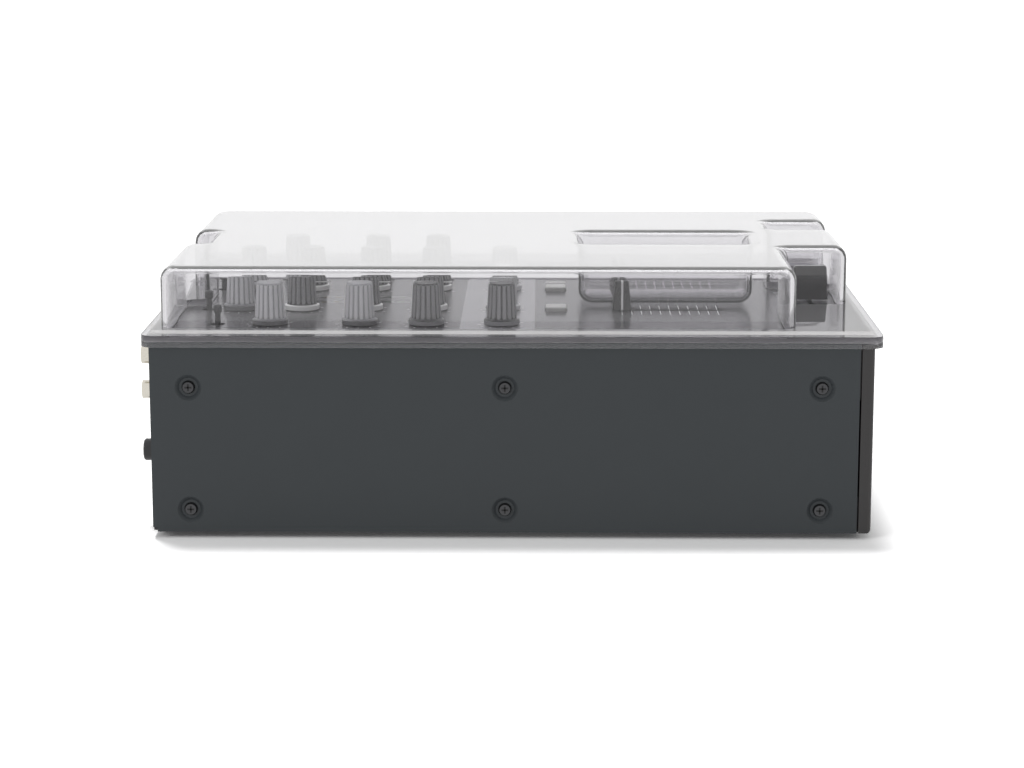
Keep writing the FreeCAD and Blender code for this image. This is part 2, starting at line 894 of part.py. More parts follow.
def lever(name, x, y):
    """A toggle lever: a ball on a cross pin, a thin neck and a thicker tip."""
    body = new_body(f"{name}_stem")
    profile = sketch_on(body, f"{name}_profile", "XZ_Plane")
    ball = "lever_ball_radius"
    outline(
        profile,
        [
            ("0", f"-{ball}"),
            ("lever_ball_corner", "-lever_ball_corner"),
            (ball, "0"),
            ("lever_ball_corner", "lever_ball_corner"),
            ("lever_neck_radius", ball),
            ("lever_neck_radius", "lever_sink + lever_rise - lever_tip_height"),
            ("lever_tip_radius", "lever_sink + lever_rise - lever_tip_straight"),
            ("lever_tip_radius", "lever_sink + lever_rise - knob_edge"),
            ("lever_tip_radius - knob_edge", "lever_sink + lever_rise"),
            ("0", "lever_sink + lever_rise"),
        ],
    )
    turned = body.newObject("PartDesign::Revolution", f"{name}_turned")
    turned.Profile = profile
    turned.ReferenceAxis = (profile, ["V_Axis"])
    turned.Angle = 360
    pivot = f"({TOP} - lever_sink)"
    for letter, place in zip("xyz", (x, y, pivot)):
        bind(body, f"Placement.Base.{letter}", place)
    pin_ends = span(x, "lever_pin_length")
    pin = rod(f"{name}_pin", "X", (y, pivot), pin_ends, "lever_pin_radius")
    return fused(name, body, pin)


def lever_switches():
    """Switch bodies with a round well for each lever's ball and a slot for its pin."""
    solids = []
    pivot = f"({TOP} - lever_sink)"
    size = "switch_width"
    well_top = f"{UNDER} + running_gap"
    for name, x, y in LEVERS:
        tag = f"{name}_switch"
        case = block(f"{tag}_case", span(x, size), span(y, size), (BOARD_TOP, UNDER))
        well = rod(
            f"{tag}_well",
            "Z",
            (x, y),
            (f"{pivot} - lever_ball_radius - running_gap", well_top),
            "lever_ball_radius + running_gap",
        )
        slot = block(
            f"{tag}_slot",
            span(x, "lever_pin_length + 2 * running_gap"),
            span(y, "2 * lever_pin_radius + 2 * running_gap"),
            (f"{pivot} - lever_pin_radius - running_gap", well_top),
        )
        solids.append(cut(tag, case, well, slot))
    return group("lever_switches", solids)


def power_button():
    """A round push button through the rear panel."""
    tip = f"({REAR_Y} + power_button_reach)"
    place = (POWER_X, "power_z")
    shaft = rod(
        "power_button_shaft",
        "Y",
        place,
        (f"{tip} - power_button_length", f"{tip} - knob_edge"),
        "power_button_radius",
    )
    crown = cone(
        "power_button_crown",
        "Y",
        place,
        (f"{tip} - knob_edge", tip),
        "power_button_radius",
        "power_button_radius - knob_edge",
    )
    return fused("power_button", shaft, crown)


def power_switch():
    """The mains switch behind the power button, on the supply board."""
    rear = f"({REAR_Y} + power_button_reach - power_button_length"
    rear += " - power_button_travel - running_gap)"
    front = f"({rear} - jack_body)"
    levels = (f"{FLOOR} + main_board_height + board_thick", "power_z + power_button_radius")
    return block("power_switch", span(POWER_X, "jack_body"), (front, rear), levels)


# Level meters


def meter_lenses():
    """Two clear strips set flush in the panel over the level meters."""
    solids = []
    for x in ("-meter_x", "meter_x"):
        tag = f"meter_lens_{len(solids)}"
        across = span(x, "meter_width - 2 * shaft_fit")
        along = ("meter_y + shaft_fit", "meter_y + meter_length - shaft_fit")
        solids.append(block(tag, across, along, (f"{TOP} - lens_thick", TOP)))
    return group("meter_lenses", solids)


def meter_leds():
    """Rows of lamp segments that stand on the control board under the lenses."""
    solids = []
    count = int(number("led_count"))
    for x in ("-meter_x", "meter_x"):
        for step in range(count):
            tag = f"meter_led_{len(solids)}"
            middle = f"(meter_y + meter_length * {2 * step + 1} / (2 * led_count))"
            levels = (BOARD_TOP, f"{TOP} - lens_thick")
            solids.append(block(tag, span(x, "led_length"), span(middle, "led_width"), levels))
    return group("meter_leds", solids)


# Inside the case


MAIN_BOARD_Z = f"({FLOOR} + main_board_height)"
SUPPLY_X = (f"-{BOARD_X}", f"-{BOARD_X} + supply_width")
SUPPLY_Y = (f"{INNER_REAR_Y} - inlet_depth - board_margin - supply_depth",
            f"{INNER_REAR_Y} - inlet_depth - board_margin")
MAIN_X = (f"-{BOARD_X} + supply_width + board_margin", BOARD_X)
MAIN_Y = ("board_front_y", f"{INNER_REAR_Y} - inlet_depth - board_margin")


def main_board():
    """The audio board over the tray."""
    return block("main_board", MAIN_X, MAIN_Y, (MAIN_BOARD_Z, f"{MAIN_BOARD_Z} + board_thick"))


def supply_board():
    """The power supply board beside the audio board."""
    levels = (MAIN_BOARD_Z, f"{MAIN_BOARD_Z} + board_thick")
    return block("supply_board", SUPPLY_X, SUPPLY_Y, levels)


def transformer():
    """The transformer: a square core with a winding bobbin through it."""
    low = f"({MAIN_BOARD_Z} + board_thick)"
    middle_x = f"(-{BOARD_X} + supply_width / 2)"
    middle_y = f"({SUPPLY_Y[0]} + transformer_size)"
    size = "transformer_size"
    core = block(
        "transformer_core",
        span(middle_x, size),
        span(middle_y, f"{size} / 2"),
        (low, f"{low} + transformer_height"),
    )
    bobbin = block(
        "transformer_bobbin",
        span(middle_x, "bobbin_width"),
        span(middle_y, size),
        (f"{low} + bobbin_margin", f"{low} + transformer_height - bobbin_margin"),
    )
    return fused("transformer", core, bobbin)


def board_posts():
    """Posts between the tray and the two lower boards."""
    solids = []
    inset = "2 * post_radius"
    for x_span, y_span in ((SUPPLY_X, SUPPLY_Y), (MAIN_X, MAIN_Y)):
        for x in (f"{x_span[0]} + {inset}", f"{x_span[1]} - {inset}"):
            for y in (f"{y_span[0]} + {inset}", f"{y_span[1]} - {inset}"):
                tag = f"board_post_{len(solids)}"
                solids.append(rod(tag, "Z", (x, y), (FLOOR, MAIN_BOARD_Z), "post_radius"))
    return group("board_posts", solids)


# Sockets


RCA_PLACES = [
    (f"({RCA_X} + {pair} * rca_pitch)", level)
    for pair in range(int(number("rca_pairs")))
    for level in ("rca_high_z", "rca_low_z")
]
REAR_JACKS = [
    ("master_jack_left", MASTER_X, "master_z"),
    ("master_jack_right", f"({MASTER_X} + master_pitch)", "master_z"),
    ("mic_jack", MIC_X, "mic_z"),
]


def rca_jacks():
    """Phono sockets: a hollow barrel on a flange, through the rear panel."""
    solids = []
    tip = f"({REAR_Y} + rca_reach)"
    for x, z in RCA_PLACES:
        tag = f"rca_jack_{len(solids)}"
        barrel = rod(f"{tag}_barrel", "Y", (x, z), (INNER_REAR_Y, tip), "rca_radius")
        flange_ends = (REAR_Y, f"{REAR_Y} + rca_flange")
        flange = rod(f"{tag}_flange", "Y", (x, z), flange_ends, "rca_flange_radius")
        bore = rod(f"{tag}_bore", "Y", (x, z), (f"{REAR_Y} - rca_flange", tip), "rca_bore_radius")
        solids.append(cut(tag, fused(f"{tag}_body", barrel, flange), bore))
    return group("rca_jacks", solids)


def rca_blocks():
    """The moulded blocks behind the rear panel that carry each pair of phono sockets."""
    solids = []
    half = "rca_block_width / 2"
    for pair in range(int(number("rca_pairs"))):
        x = f"({RCA_X} + {pair} * rca_pitch)"
        depth = (f"{INNER_REAR_Y} - rca_block_depth", INNER_REAR_Y)
        levels = (f"rca_low_z - {half}", f"{BOARD_TOP} - board_thick")
        solids.append(block(f"rca_block_{pair}", span(x, "rca_block_width"), depth, levels))
    return group("rca_blocks", solids)


def rear_jack(name, x, z):
    """A quarter inch jack socket: collar, barrel through the panel and moulded body."""
    tip = f"({REAR_Y} + jack_collar)"
    collar = rod(f"{name}_collar", "Y", (x, z), (REAR_Y, tip), "jack_collar_radius")
    barrel = rod(f"{name}_barrel", "Y", (x, z), (INNER_REAR_Y, REAR_Y), "jack_barrel_radius")
    inner = f"({tip} - jack_bore_depth)"
    case = block(
        f"{name}_case",
        span(x, "jack_body"),
        (f"{inner} - jack_collar", INNER_REAR_Y),
        span(z, "jack_body"),
    )
    bore = rod(f"{name}_bore", "Y", (x, z), (inner, tip), "jack_bore_radius")
    return cut(name, fused(f"{name}_outer", collar, barrel, case), bore)


def front_jack(name, x, radii, body_size):
    """A phone socket through the front plate, its collar proud of the plate."""
    bore_radius, barrel_radius, collar_radius = radii
    place = (x, "phones_z")
    tip = f"({FRONT_Y} - jack_collar / 2)"
    collar = rod(f"{name}_collar", "Y", place, (tip, FRONT_Y), collar_radius)
    barrel = rod(f"{name}_barrel", "Y", place, (FRONT_Y, INNER_FRONT_Y), barrel_radius)
    inner = f"({tip} + jack_bore_depth)"
    case = block(
        f"{name}_case",
        span(x, body_size),
        (INNER_FRONT_Y, f"{inner} + jack_collar"),
        span("phones_z", body_size),
    )
    bore = rod(f"{name}_bore", "Y", place, (tip, inner), bore_radius)
    return cut(name, fused(f"{name}_outer", collar, barrel, case), bore)


def usb_socket():
    """A square computer socket, open to the rear."""
    mouth = f"({REAR_Y} + usb_reach)"
    shell = block(
        "usb_socket_shell",
        span("usb_x", "usb_width"),
        (f"{mouth} - usb_depth", mouth),
        span("usb_z", "usb_height"),
    )
    hollow = block(
        "usb_socket_mouth",
        span("usb_x", "usb_mouth_width"),
        (f"{mouth} - usb_mouth_depth", mouth),
        span("usb_z", "usb_mouth_height"),
    )
    return cut("usb_socket", shell, hollow)


def power_inlet():
    """The mains inlet: a rim on the panel and a deep mouth for the plug."""
    mouth = f"({REAR_Y} + inlet_rim_thick)"
    place = (INLET_X, "inlet_z")
    rim = block(
        "power_inlet_rim",
        span(place[0], "inlet_width + 2 * inlet_rim"),
        (REAR_Y, mouth),
        span(place[1], "inlet_height + 2 * inlet_rim"),
    )
    case = block(
        "power_inlet_case",
        span(place[0], "inlet_width"),
        (f"{INNER_REAR_Y} - inlet_depth", REAR_Y),
        span(place[1], "inlet_height"),
    )
    hollow = block(
        "power_inlet_mouth",
        span(place[0], "inlet_mouth_width"),
        (f"{mouth} - inlet_mouth_depth", mouth),
        span(place[1], "inlet_mouth_height"),
    )
    return cut("power_inlet", fused("power_inlet_outer", rim, case), hollow)


def inlet_pins():
    """Three flat pins that stand on the floor of the mains inlet."""
    root = f"({REAR_Y} + inlet_rim_thick - inlet_mouth_depth)"
    places = [
        (f"{INLET_X} - pin_pitch / 2", "inlet_z - pin_drop"),
        (f"{INLET_X} + pin_pitch / 2", "inlet_z - pin_drop"),
        (INLET_X, "inlet_z + pin_rise"),
    ]
    solids = [
        block(f"inlet_pin_{index}", span(x, "pin_width"), (root, f"{root} + pin_length"),
              span(z, "pin_height"))
        for index, (x, z) in enumerate(places)
    ]
    return group("inlet_pins", solids)


def ground_terminal():
    """The ground post: a thumb screw on the rear panel with its stud through it."""
    place = (GROUND_X, "ground_z")
    tip = f"({REAR_Y} + ground_reach)"
    head = rod("ground_terminal_head", "Y", place, (REAR_Y, tip), "ground_radius")
    stud_ends = (f"{INNER_REAR_Y} - ground_reach", REAR_Y)
    stud = rod("ground_terminal_stud", "Y", place, stud_ends, "screw_radius")
    return fused("ground_terminal", head, stud)


# Clear dust cover


SEAT_Z = f"({TOP} + cover_seat)"
FLANGE_TOP = f"({SEAT_Z} + cover_flange_thick)"


def dome(name, inset, low_z):
    """The dome's form, drawn in by a wall thickness for the hollow under it."""
    body = new_body(name)
    roof = f"({SEAT_Z} + dome_rise - {inset})"
    plan = sketch_on(body, f"{name}_plan", "XY_Plane", low_z)
    side = f"({DOME_X} - {inset})"
    nose = f"(nose_half_width - {inset})"
    tail = f"(tail_half_width + {inset})"
    wing = f"(wing_x + {inset})"
    rear = f"(dome_rear_y - {inset})"
    tail_rear = f"(tail_y - {inset})"
    front = f"(dome_front_y + {inset})"
    step = f"(dome_step_y + {inset})"
    outline(
        plan,
        [
            (f"-{side}", step),
            (f"-{nose}", step),
            (f"-{nose}", front),
            (nose, front),
            (nose, step),
            (wing, step),
            (wing, front),
            (side, front),
            (side, rear),
            (tail, rear),
            (tail, tail_rear),
            (f"-{tail}", tail_rear),
            (f"-{tail}", rear),
            (f"-{side}", rear),
        ],
    )
    extrude(body, "Pad", f"{name}_block", plan, f"{roof} - {low_z}")
    recess = sketch_on(body, f"{name}_recess", "XY_Plane", roof)
    half = f"(recess_half_width + {inset})"
    ends = (f"recess_front_y - {inset}", f"recess_rear_y + {inset}")
    rectangle(recess, (f"-{half}", half), ends)
    floor = f"({TOP} + recess_gap + cover_wall - {inset})"
    form = extrude(body, "Pocket", f"{name}_recess_cut", recess, f"{roof} - {floor}")
    corners = [(f"-{side}", step), (f"-{side}", rear), (side, rear), (side, front)]
    corners.append((wing, front))
    noses = [(f"-{nose}", front), (nose, front)]
    tails = [(f"-{tail}", rear), (tail, rear)]
    creases = [(f"-{nose}", step), (nose, step), (wing, step)]
    creases += [(f"-{tail}", tail_rear), (tail, tail_rear)]
    wells = [(x, y) for x in (f"-{half}", half) for y in ends]
    for label, places, radius in (
        ("corners", corners, f"dome_round - {inset}"),
        ("noses", noses, f"nose_round - {inset}"),
        ("tails", tails, f"tail_round - {inset}"),
        ("creases", creases, f"crease_round + {inset}"),
        ("wells", wells, f"recess_round + {inset}"),
    ):
        form = rounded(body, f"{name}_{label}", form, upright_at(places), radius)
    for label, level, radius in (
        ("floor", floor, f"recess_floor_round + {inset}"),
        ("roof", roof, f"roof_round - {inset}"),
    ):
        height = number(level)
        form = rounded(body, f"{name}_{label}", form, level_at(height), radius)
    return body


def dust_cover():
    """A moulded clear cover: a domed shell with a flange and a skirt round the case."""
    shell = dome("dust_cover_dome", "0", SEAT_Z)
    hollow = dome("dust_cover_hollow", "cover_wall", f"({SEAT_Z} - cover_wall)")
    rim = new_body("dust_cover_rim")
    plan = sketch_on(rim, "dust_cover_rim_plan", "XY_Plane", f"{FLANGE_TOP} - cover_skirt")
    rectangle(
        plan,
        span("0", "body_width + 2 * cover_overhang"),
        span("0", "body_depth + 2 * cover_overhang"),
    )
    plate = extrude(rim, "Pad", "dust_cover_rim_plate", plan, "cover_skirt")
    rounded(rim, "dust_cover_rim_round", plate, is_upright, "cover_corner")
    skirt_space = block(
        "dust_cover_skirt_space",
        span("0", "body_width + 2 * cover_side_clear"),
        span("0", "body_depth + 2 * cover_side_clear"),
        (f"{FLANGE_TOP} - cover_skirt", SEAT_Z),
    )
    return cut("dust_cover", fused("dust_cover_outer", shell, rim), hollow, skirt_space)


# Build every sub-part

LEFT_X = "-body_width / 2"
RIGHT_X = "body_width / 2"
for piece in (chassis_base(), top_panel(), rear_panel(), front_panel()):
    node(piece)
node(side_panel("left_side_panel", LEFT_X, f"-{INNER_X}", 1))
node(side_panel("right_side_panel", RIGHT_X, INNER_X, -1))
node(side_screws())
node(feet())
for name, x, y in KNOBS:
    node(knob(name, x, y))
node(potentiometers())
node(control_board())
node(panel_posts())
for name, x in CHANNEL_FADERS:
    node(fader(name, x, "fader_y", along_x=False))
node(fader("crossfader", "0", "crossfader_y", along_x=True))
node(fader_frames())
for name, x in CUE_BUTTONS:
    node(cue_button(name, x))
node(cue_switches())
for name, x, y in LEVERS:
    node(lever(name, x, y))
node(lever_switches())
for piece in (power_button(), power_switch(), meter_lenses(), meter_leds()):
    node(piece)
for piece in (main_board(), supply_board(), transformer(), board_posts()):
    node(piece)
node(rca_jacks())
node(rca_blocks())
for name, x, z in REAR_JACKS:
    node(rear_jack(name, x, z))
JACK_RADII = ("jack_bore_radius", "jack_barrel_radius", "jack_collar_radius")
MINI_RADII = ("mini_bore_radius", "mini_barrel_radius", "mini_collar_radius")
node(front_jack("phones_jack", PHONES_X, JACK_RADII, "jack_body"))
node(front_jack("phones_mini_jack", f"({PHONES_X} + mini_pitch)", MINI_RADII, "mini_body"))
for piece in (usb_socket(), power_inlet(), inlet_pins(), ground_terminal()):
    node(piece)
node(dust_cover())

# Check the document, then write one file for each sub-part
doc.recompute()
faults = [
    thing.Label
    for thing in doc.Objects
    if "Invalid" in thing.State or "Error" in thing.State
]
if faults:
    raise RuntimeError(f"failed to build: {faults}")
for piece in nodes:
    if piece.Shape.isNull() or not piece.Shape.isValid():
        raise RuntimeError(f"bad shape: {piece.Label}")

os.makedirs("parts", exist_ok=True)
for piece in nodes:
    piece.Shape.exportStep(f"parts/{piece.Label}.step")
print(f"{len(nodes)} sub-parts")
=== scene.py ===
"""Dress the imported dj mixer: finishes, panel marks, clear cover, studio and camera."""

import json
import logging
import math
from dataclasses import dataclass, field
from enum import Enum
from typing import Iterable, Optional

import bmesh
import bpy
from mathutils import Matrix, Vector


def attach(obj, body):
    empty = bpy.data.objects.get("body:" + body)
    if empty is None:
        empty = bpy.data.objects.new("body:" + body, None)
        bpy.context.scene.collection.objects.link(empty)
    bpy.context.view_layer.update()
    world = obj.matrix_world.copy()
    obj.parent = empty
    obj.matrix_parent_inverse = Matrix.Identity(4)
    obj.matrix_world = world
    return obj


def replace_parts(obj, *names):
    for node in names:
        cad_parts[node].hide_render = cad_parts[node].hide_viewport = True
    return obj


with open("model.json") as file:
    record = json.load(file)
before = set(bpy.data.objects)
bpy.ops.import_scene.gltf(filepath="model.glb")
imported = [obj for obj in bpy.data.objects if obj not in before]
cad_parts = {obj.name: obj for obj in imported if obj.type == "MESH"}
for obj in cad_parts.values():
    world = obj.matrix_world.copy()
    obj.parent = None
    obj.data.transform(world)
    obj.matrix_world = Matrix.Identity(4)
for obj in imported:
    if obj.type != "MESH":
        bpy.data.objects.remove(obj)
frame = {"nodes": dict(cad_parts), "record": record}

Colour = tuple[float, float, float]
Place = tuple[float, float, float]
Point = tuple[float, float]

LOG = logging.getLogger("mixer")
CHASSIS = "chassis"
MM = 0.001

# Heights in the frame, in metres
PANEL_TOP = 0.089
SKIRT_HIGH = PANEL_TOP + 3.0 * MM
SEAT_LOW = 0.0890
SEAT_HIGH = 0.0895
LEDGE_TOP = 0.0923
ROOF_LEVEL = 0.1


class Axis(Enum):
    """The frame's axes, by the names of their sockets."""

    X = "X"
    Y = "Y"
    Z = "Z"


class Stretch(Enum):
    """How the grain of a surface is drawn out along the axes."""

    EVEN = (1.0, 1.0, 1.0)
    ALONG_X = (0.03, 1.0, 1.0)


@dataclass(frozen=True)
class Band:
    """A stretch of an axis that carries another colour.

    Args:
        axis: the axis that is measured
        low: where the band starts, in metres
        high: where the band ends, in metres
        colour: the colour inside the band
    """

    axis: Axis
    low: float
    high: float
    colour: Colour


@dataclass(frozen=True)
class Finish:
    """One opaque surface finish.

    Args:
        name: the material's name
        colour: the main colour
        shade: the colour that the grain mixes in
        roughness: the middle of the roughness
        spread: how far the grain moves the roughness
        metallic: 1.0 for bare metal
        coat: weight of a clear lacquer
        grain: scale of the fine grain
        relief: strength of the grain's bump
        depth: height of the grain's bump, in metres
        dust: weight of the dust specks
        specular: how strongly the surface mirrors
        stretch: how the grain is drawn out
        bands: stretches with another colour
        ridge_highlight: the painted highlight colour of the flute ridges, if there are any
    """

    name: str
    colour: Colour
    shade: Colour
    roughness: float
    spread: float = 0.08
    metallic: float = 0.0
    coat: float = 0.0
    grain: float = 900.0
    relief: float = 0.12
    depth: float = 0.00004
    dust: float = 0.0
    specular: float = 0.5
    stretch: Stretch = Stretch.EVEN
    bands: tuple[Band, ...] = ()
    ridge_highlight: Optional[Colour] = None


@dataclass(frozen=True)
class ClearFinish:
    """One clear plastic.

    Args:
        name: the material's name
        tint: the main tint
        shade: the tint that the grain mixes in
        roughness: the middle of the roughness
        ior: the refractive index
        shadow: the share of lamp light that it holds back
        density: how densely its body absorbs
        absorbed: the colour of the light that its body lets through
        haze: weight of the pale sheen at low angles
        haze_spread: roughness of that sheen
        film: weight of the mirror film on the roof
        satin: roughness added on the seat under the ledge
    """

    name: str
    tint: Colour
    shade: Colour
    roughness: float
    ior: float
    shadow: float
    density: float = 0.0
    absorbed: Colour = (0.0, 0.0, 0.0)
    haze: float = 0.0
    haze_spread: float = 0.3
    film: float = 0.0
    satin: float = 0.0


LINE_WHITE = (0.78, 0.78, 0.78)
SIDE_PAINT = Finish("side_paint", (0.034, 0.039, 0.043), (0.040, 0.046, 0.050), 0.46, 0.10,
                    grain=2600.0, relief=0.22, depth=0.00003, specular=0.34)
FRONT_PAINT = Finish("front_paint", (0.035, 0.033, 0.033), (0.041, 0.039, 0.039), 0.42, 0.08,
                     grain=2400.0, relief=0.18, depth=0.00003, specular=0.36)
TRAY_PAINT = Finish("tray_paint", (0.016, 0.016, 0.017), (0.022, 0.022, 0.024), 0.5, 0.1, grain=2200.0)
REAR_PAINT = Finish("rear_paint", (0.018, 0.018, 0.019), (0.024, 0.024, 0.025), 0.48, 0.1, grain=2400.0)
PANEL_PAINT = Finish(
    "panel_paint", (0.084, 0.084, 0.087), (0.097, 0.097, 0.101), 0.22, 0.06, grain=3000.0,
    relief=0.05, depth=0.00002, dust=0.25,
    # A lighter band across the panel, between Y -10 mm and +24 mm
    bands=(Band(Axis.Y, -0.010, 0.024, (0.28, 0.28, 0.29)),),
)
SCREW_BLACK = Finish("screw_black", (0.05, 0.05, 0.052), (0.09, 0.09, 0.095), 0.34, 0.14,
                     metallic=0.9, grain=1800.0)
# Near-black for the printed lines on the silver knobs, and painted shade in the screw recesses
BLACK_LINE_AND_RECESS_SHADE = Finish("black_line_and_recess_shade", (0.004, 0.004, 0.004), (0.009, 0.009, 0.009), 0.7, 0.1)
FOOT_RUBBER = Finish("foot_rubber", (0.012, 0.012, 0.012), (0.02, 0.02, 0.02), 0.85, 0.1,
                     grain=1400.0, relief=0.3)
PLATED_STEEL = Finish("plated_steel", (0.55, 0.55, 0.56), (0.42, 0.42, 0.44), 0.3, 0.15,
                      metallic=1.0, grain=1600.0, stretch=Stretch.ALONG_X)
SOLDER_MASK = Finish("solder_mask", (0.015, 0.09, 0.04), (0.02, 0.12, 0.05), 0.35, 0.1,
                     coat=0.3, grain=500.0)
BLACK_MOULDING = Finish("black_moulding", (0.014, 0.014, 0.015), (0.021, 0.021, 0.022), 0.5, 0.12,
                        grain=1500.0)
CORE_IRON = Finish("core_iron", (0.10, 0.09, 0.08), (0.16, 0.14, 0.12), 0.5, 0.2,
                   metallic=0.7, grain=900.0, stretch=Stretch.ALONG_X)
NICKEL = Finish("nickel", (0.74, 0.71, 0.64), (0.60, 0.57, 0.50), 0.2, 0.12, metallic=1.0, grain=1200.0)
SOCKET_CREAM = Finish("socket_cream", (0.74, 0.70, 0.60), (0.66, 0.62, 0.52), 0.4, 0.1, grain=800.0)
SOCKET_RED = Finish("socket_red", (0.45, 0.03, 0.03), (0.36, 0.02, 0.02), 0.4, 0.1, grain=800.0)
MARK_WHITE = Finish("mark_white", (0.72, 0.72, 0.72), (0.62, 0.62, 0.62), 0.5, 0.08, grain=1500.0)
BUTTON_GREY = Finish("button_grey", (0.46, 0.46, 0.45), (0.52, 0.52, 0.51), 0.38, 0.1, grain=1200.0)
LEVER_BLACK = Finish("lever_black", (0.02, 0.02, 0.021), (0.028, 0.028, 0.03), 0.36, 0.1, grain=1500.0)
# The knobs' flute ridges get a painted highlight colour over painted shade in the grooves
KNOB_GREY = Finish(
    "knob_grey", (0.25, 0.25, 0.265), (0.30, 0.30, 0.315), 0.30, 0.1, grain=1800.0, dust=0.3,
    ridge_highlight=(0.66, 0.66, 0.68),
    bands=(Band(Axis.Z, PANEL_TOP, SKIRT_HIGH, (0.16, 0.16, 0.165)),),
)
KNOB_DARK = Finish(
    "knob_dark", (0.010, 0.010, 0.011), (0.016, 0.016, 0.018), 0.28, 0.1, grain=1800.0, dust=0.3,
    ridge_highlight=(0.26, 0.26, 0.27),
)
KNOB_TONE = Finish(
    "knob_tone", (0.010, 0.010, 0.011), (0.016, 0.016, 0.018), 0.28, 0.1, grain=1800.0, dust=0.3,
    ridge_highlight=(0.26, 0.26, 0.27),
    bands=(Band(Axis.Z, PANEL_TOP, SKIRT_HIGH, (0.75, 0.75, 0.74)),),
)
KNOB_SILVER = Finish(
    "knob_silver", (0.56, 0.56, 0.57), (0.62, 0.62, 0.63), 0.36, 0.1, grain=1800.0, dust=0.2,
)
CHANNEL_CAP = Finish(
    "channel_cap", (0.018, 0.018, 0.019), (0.03, 0.03, 0.031), 0.42, 0.1, grain=1600.0,
    bands=(Band(Axis.Y, -0.0515, -0.0505, LINE_WHITE),),
)
CROSS_CAP = Finish(
    "cross_cap", (0.018, 0.018, 0.019), (0.03, 0.03, 0.031), 0.42, 0.1, grain=1600.0,
    bands=(Band(Axis.X, -0.0005, 0.0005, LINE_WHITE),),
)
METER_LAMP = Finish(
    "meter_lamp", (0.10, 0.30, 0.12), (0.13, 0.36, 0.15), 0.35, 0.1, grain=700.0,
    bands=(
        Band(Axis.Y, 0.0824, 0.0948, (0.42, 0.26, 0.05)),
        Band(Axis.Y, 0.0948, 0.1020, (0.42, 0.05, 0.04)),
    ),
)
COVER_CLEAR = ClearFinish("cover_clear", (0.985, 0.982, 0.988), (0.97, 0.966, 0.975), 0.015, 1.57, 0.12,
                          density=55.0, absorbed=(0.16, 0.13, 0.20), haze=0.25, film=0.85, satin=0.6)
LEDGE_SATIN = ClearFinish("ledge_satin", (0.99, 0.97, 0.97), (0.98, 0.96, 0.96), 0.02, 1.01, 0.0,
                          haze=1.0, haze_spread=0.5)
METER_CLEAR = ClearFinish("meter_clear", (0.30, 0.30, 0.32), (0.24, 0.24, 0.26), 0.06, 1.49, 0.5)

STATIC_FINISHES: dict[str, Finish] = {
    "chassis_base": TRAY_PAINT, "top_panel": PANEL_PAINT, "rear_panel": REAR_PAINT,
    "front_panel": FRONT_PAINT, "left_side_panel": SIDE_PAINT, "right_side_panel": SIDE_PAINT,
    "side_screws": SCREW_BLACK, "feet": FOOT_RUBBER, "potentiometers": PLATED_STEEL,
    "control_board": SOLDER_MASK, "panel_posts": PLATED_STEEL, "fader_frames": PLATED_STEEL,
    "cue_switches": BLACK_MOULDING, "lever_switches": BLACK_MOULDING, "power_switch": BLACK_MOULDING,
    "meter_leds": METER_LAMP, "main_board": SOLDER_MASK, "supply_board": SOLDER_MASK,
    "transformer": CORE_IRON, "board_posts": PLATED_STEEL, "rca_jacks": NICKEL,
    "rca_blocks": BLACK_MOULDING, "master_jack_left": BLACK_MOULDING,
    "master_jack_right": BLACK_MOULDING, "mic_jack": BLACK_MOULDING, "phones_jack": BLACK_MOULDING,
    "phones_mini_jack": BLACK_MOULDING, "usb_socket": NICKEL, "power_inlet": BLACK_MOULDING,
    "inlet_pins": NICKEL, "ground_terminal": NICKEL,
}


def feed(tree: bpy.types.NodeTree, slot: bpy.types.NodeSocket, value: object) -> None:
    """Link a socket to a slot, or set the slot to a plain value.

    Args:
        tree: the tree that holds the slot
        slot: the input that is fed
        value: a socket, a number, a colour or a vector
    """
    if isinstance(value, bpy.types.NodeSocket):
        tree.links.new(value, slot)
    elif isinstance(value, tuple) and slot.type == "RGBA":
        slot.default_value = (*value, 1.0)
    else:
        slot.default_value = value


def feed_all(tree: bpy.types.NodeTree, node: bpy.types.Node, values: dict[str, object]) -> None:
    """Feed several inputs of a node.

    Args:
        tree: the tree that holds the node
        node: the node that is fed
        values: sockets or plain values by input name
    """
    for label, value in values.items():
        feed(tree, node.inputs[label], value)


def first_node(tree: bpy.types.NodeTree, kind: str) -> bpy.types.Node:
    """Return the first node of a kind."""
    return next(node for node in tree.nodes if node.type == kind)


def split_axes(tree: bpy.types.NodeTree, vector: bpy.types.NodeSocket) -> bpy.types.bpy_prop_collection:
    """Split a vector into its axes.

    Args:
        tree: the tree that gets the node
        vector: the vector that is split
    Returns:
        The three outputs, by the names of the axes.
    """
    node = tree.nodes.new("ShaderNodeSeparateXYZ")
    tree.links.new(vector, node.inputs[0])
    return node.outputs


def math_node(tree: bpy.types.NodeTree, operation: str, *values: object) -> bpy.types.NodeSocket:
    """Add a math node.

    Args:
        tree: the tree that gets the node
        operation: the node's operation
        values: sockets or plain numbers, in the order of the inputs
    Returns:
        The node's output.
    """
    node = tree.nodes.new("ShaderNodeMath")
    node.operation = operation
    for slot, value in zip(node.inputs, values):
        feed(tree, slot, value)
    return node.outputs[0]


def mix_node(tree: bpy.types.NodeTree, mask: object, first: object, second: object) -> bpy.types.NodeSocket:
    """Add a colour mix node.

    Args:
        tree: the tree that gets the node
        mask: socket or number, 0 gives the first colour
        first: socket or colour
        second: socket or colour
    Returns:
        The mixed colour.
    """
    node = tree.nodes.new("ShaderNodeMix")
    node.data_type = "RGBA"
    colours = [slot for slot in node.inputs if slot.type == "RGBA"]
    for slot, value in zip((node.inputs[0], *colours), (mask, first, second)):
        feed(tree, slot, value)
    return next(slot for slot in node.outputs if slot.type == "RGBA")


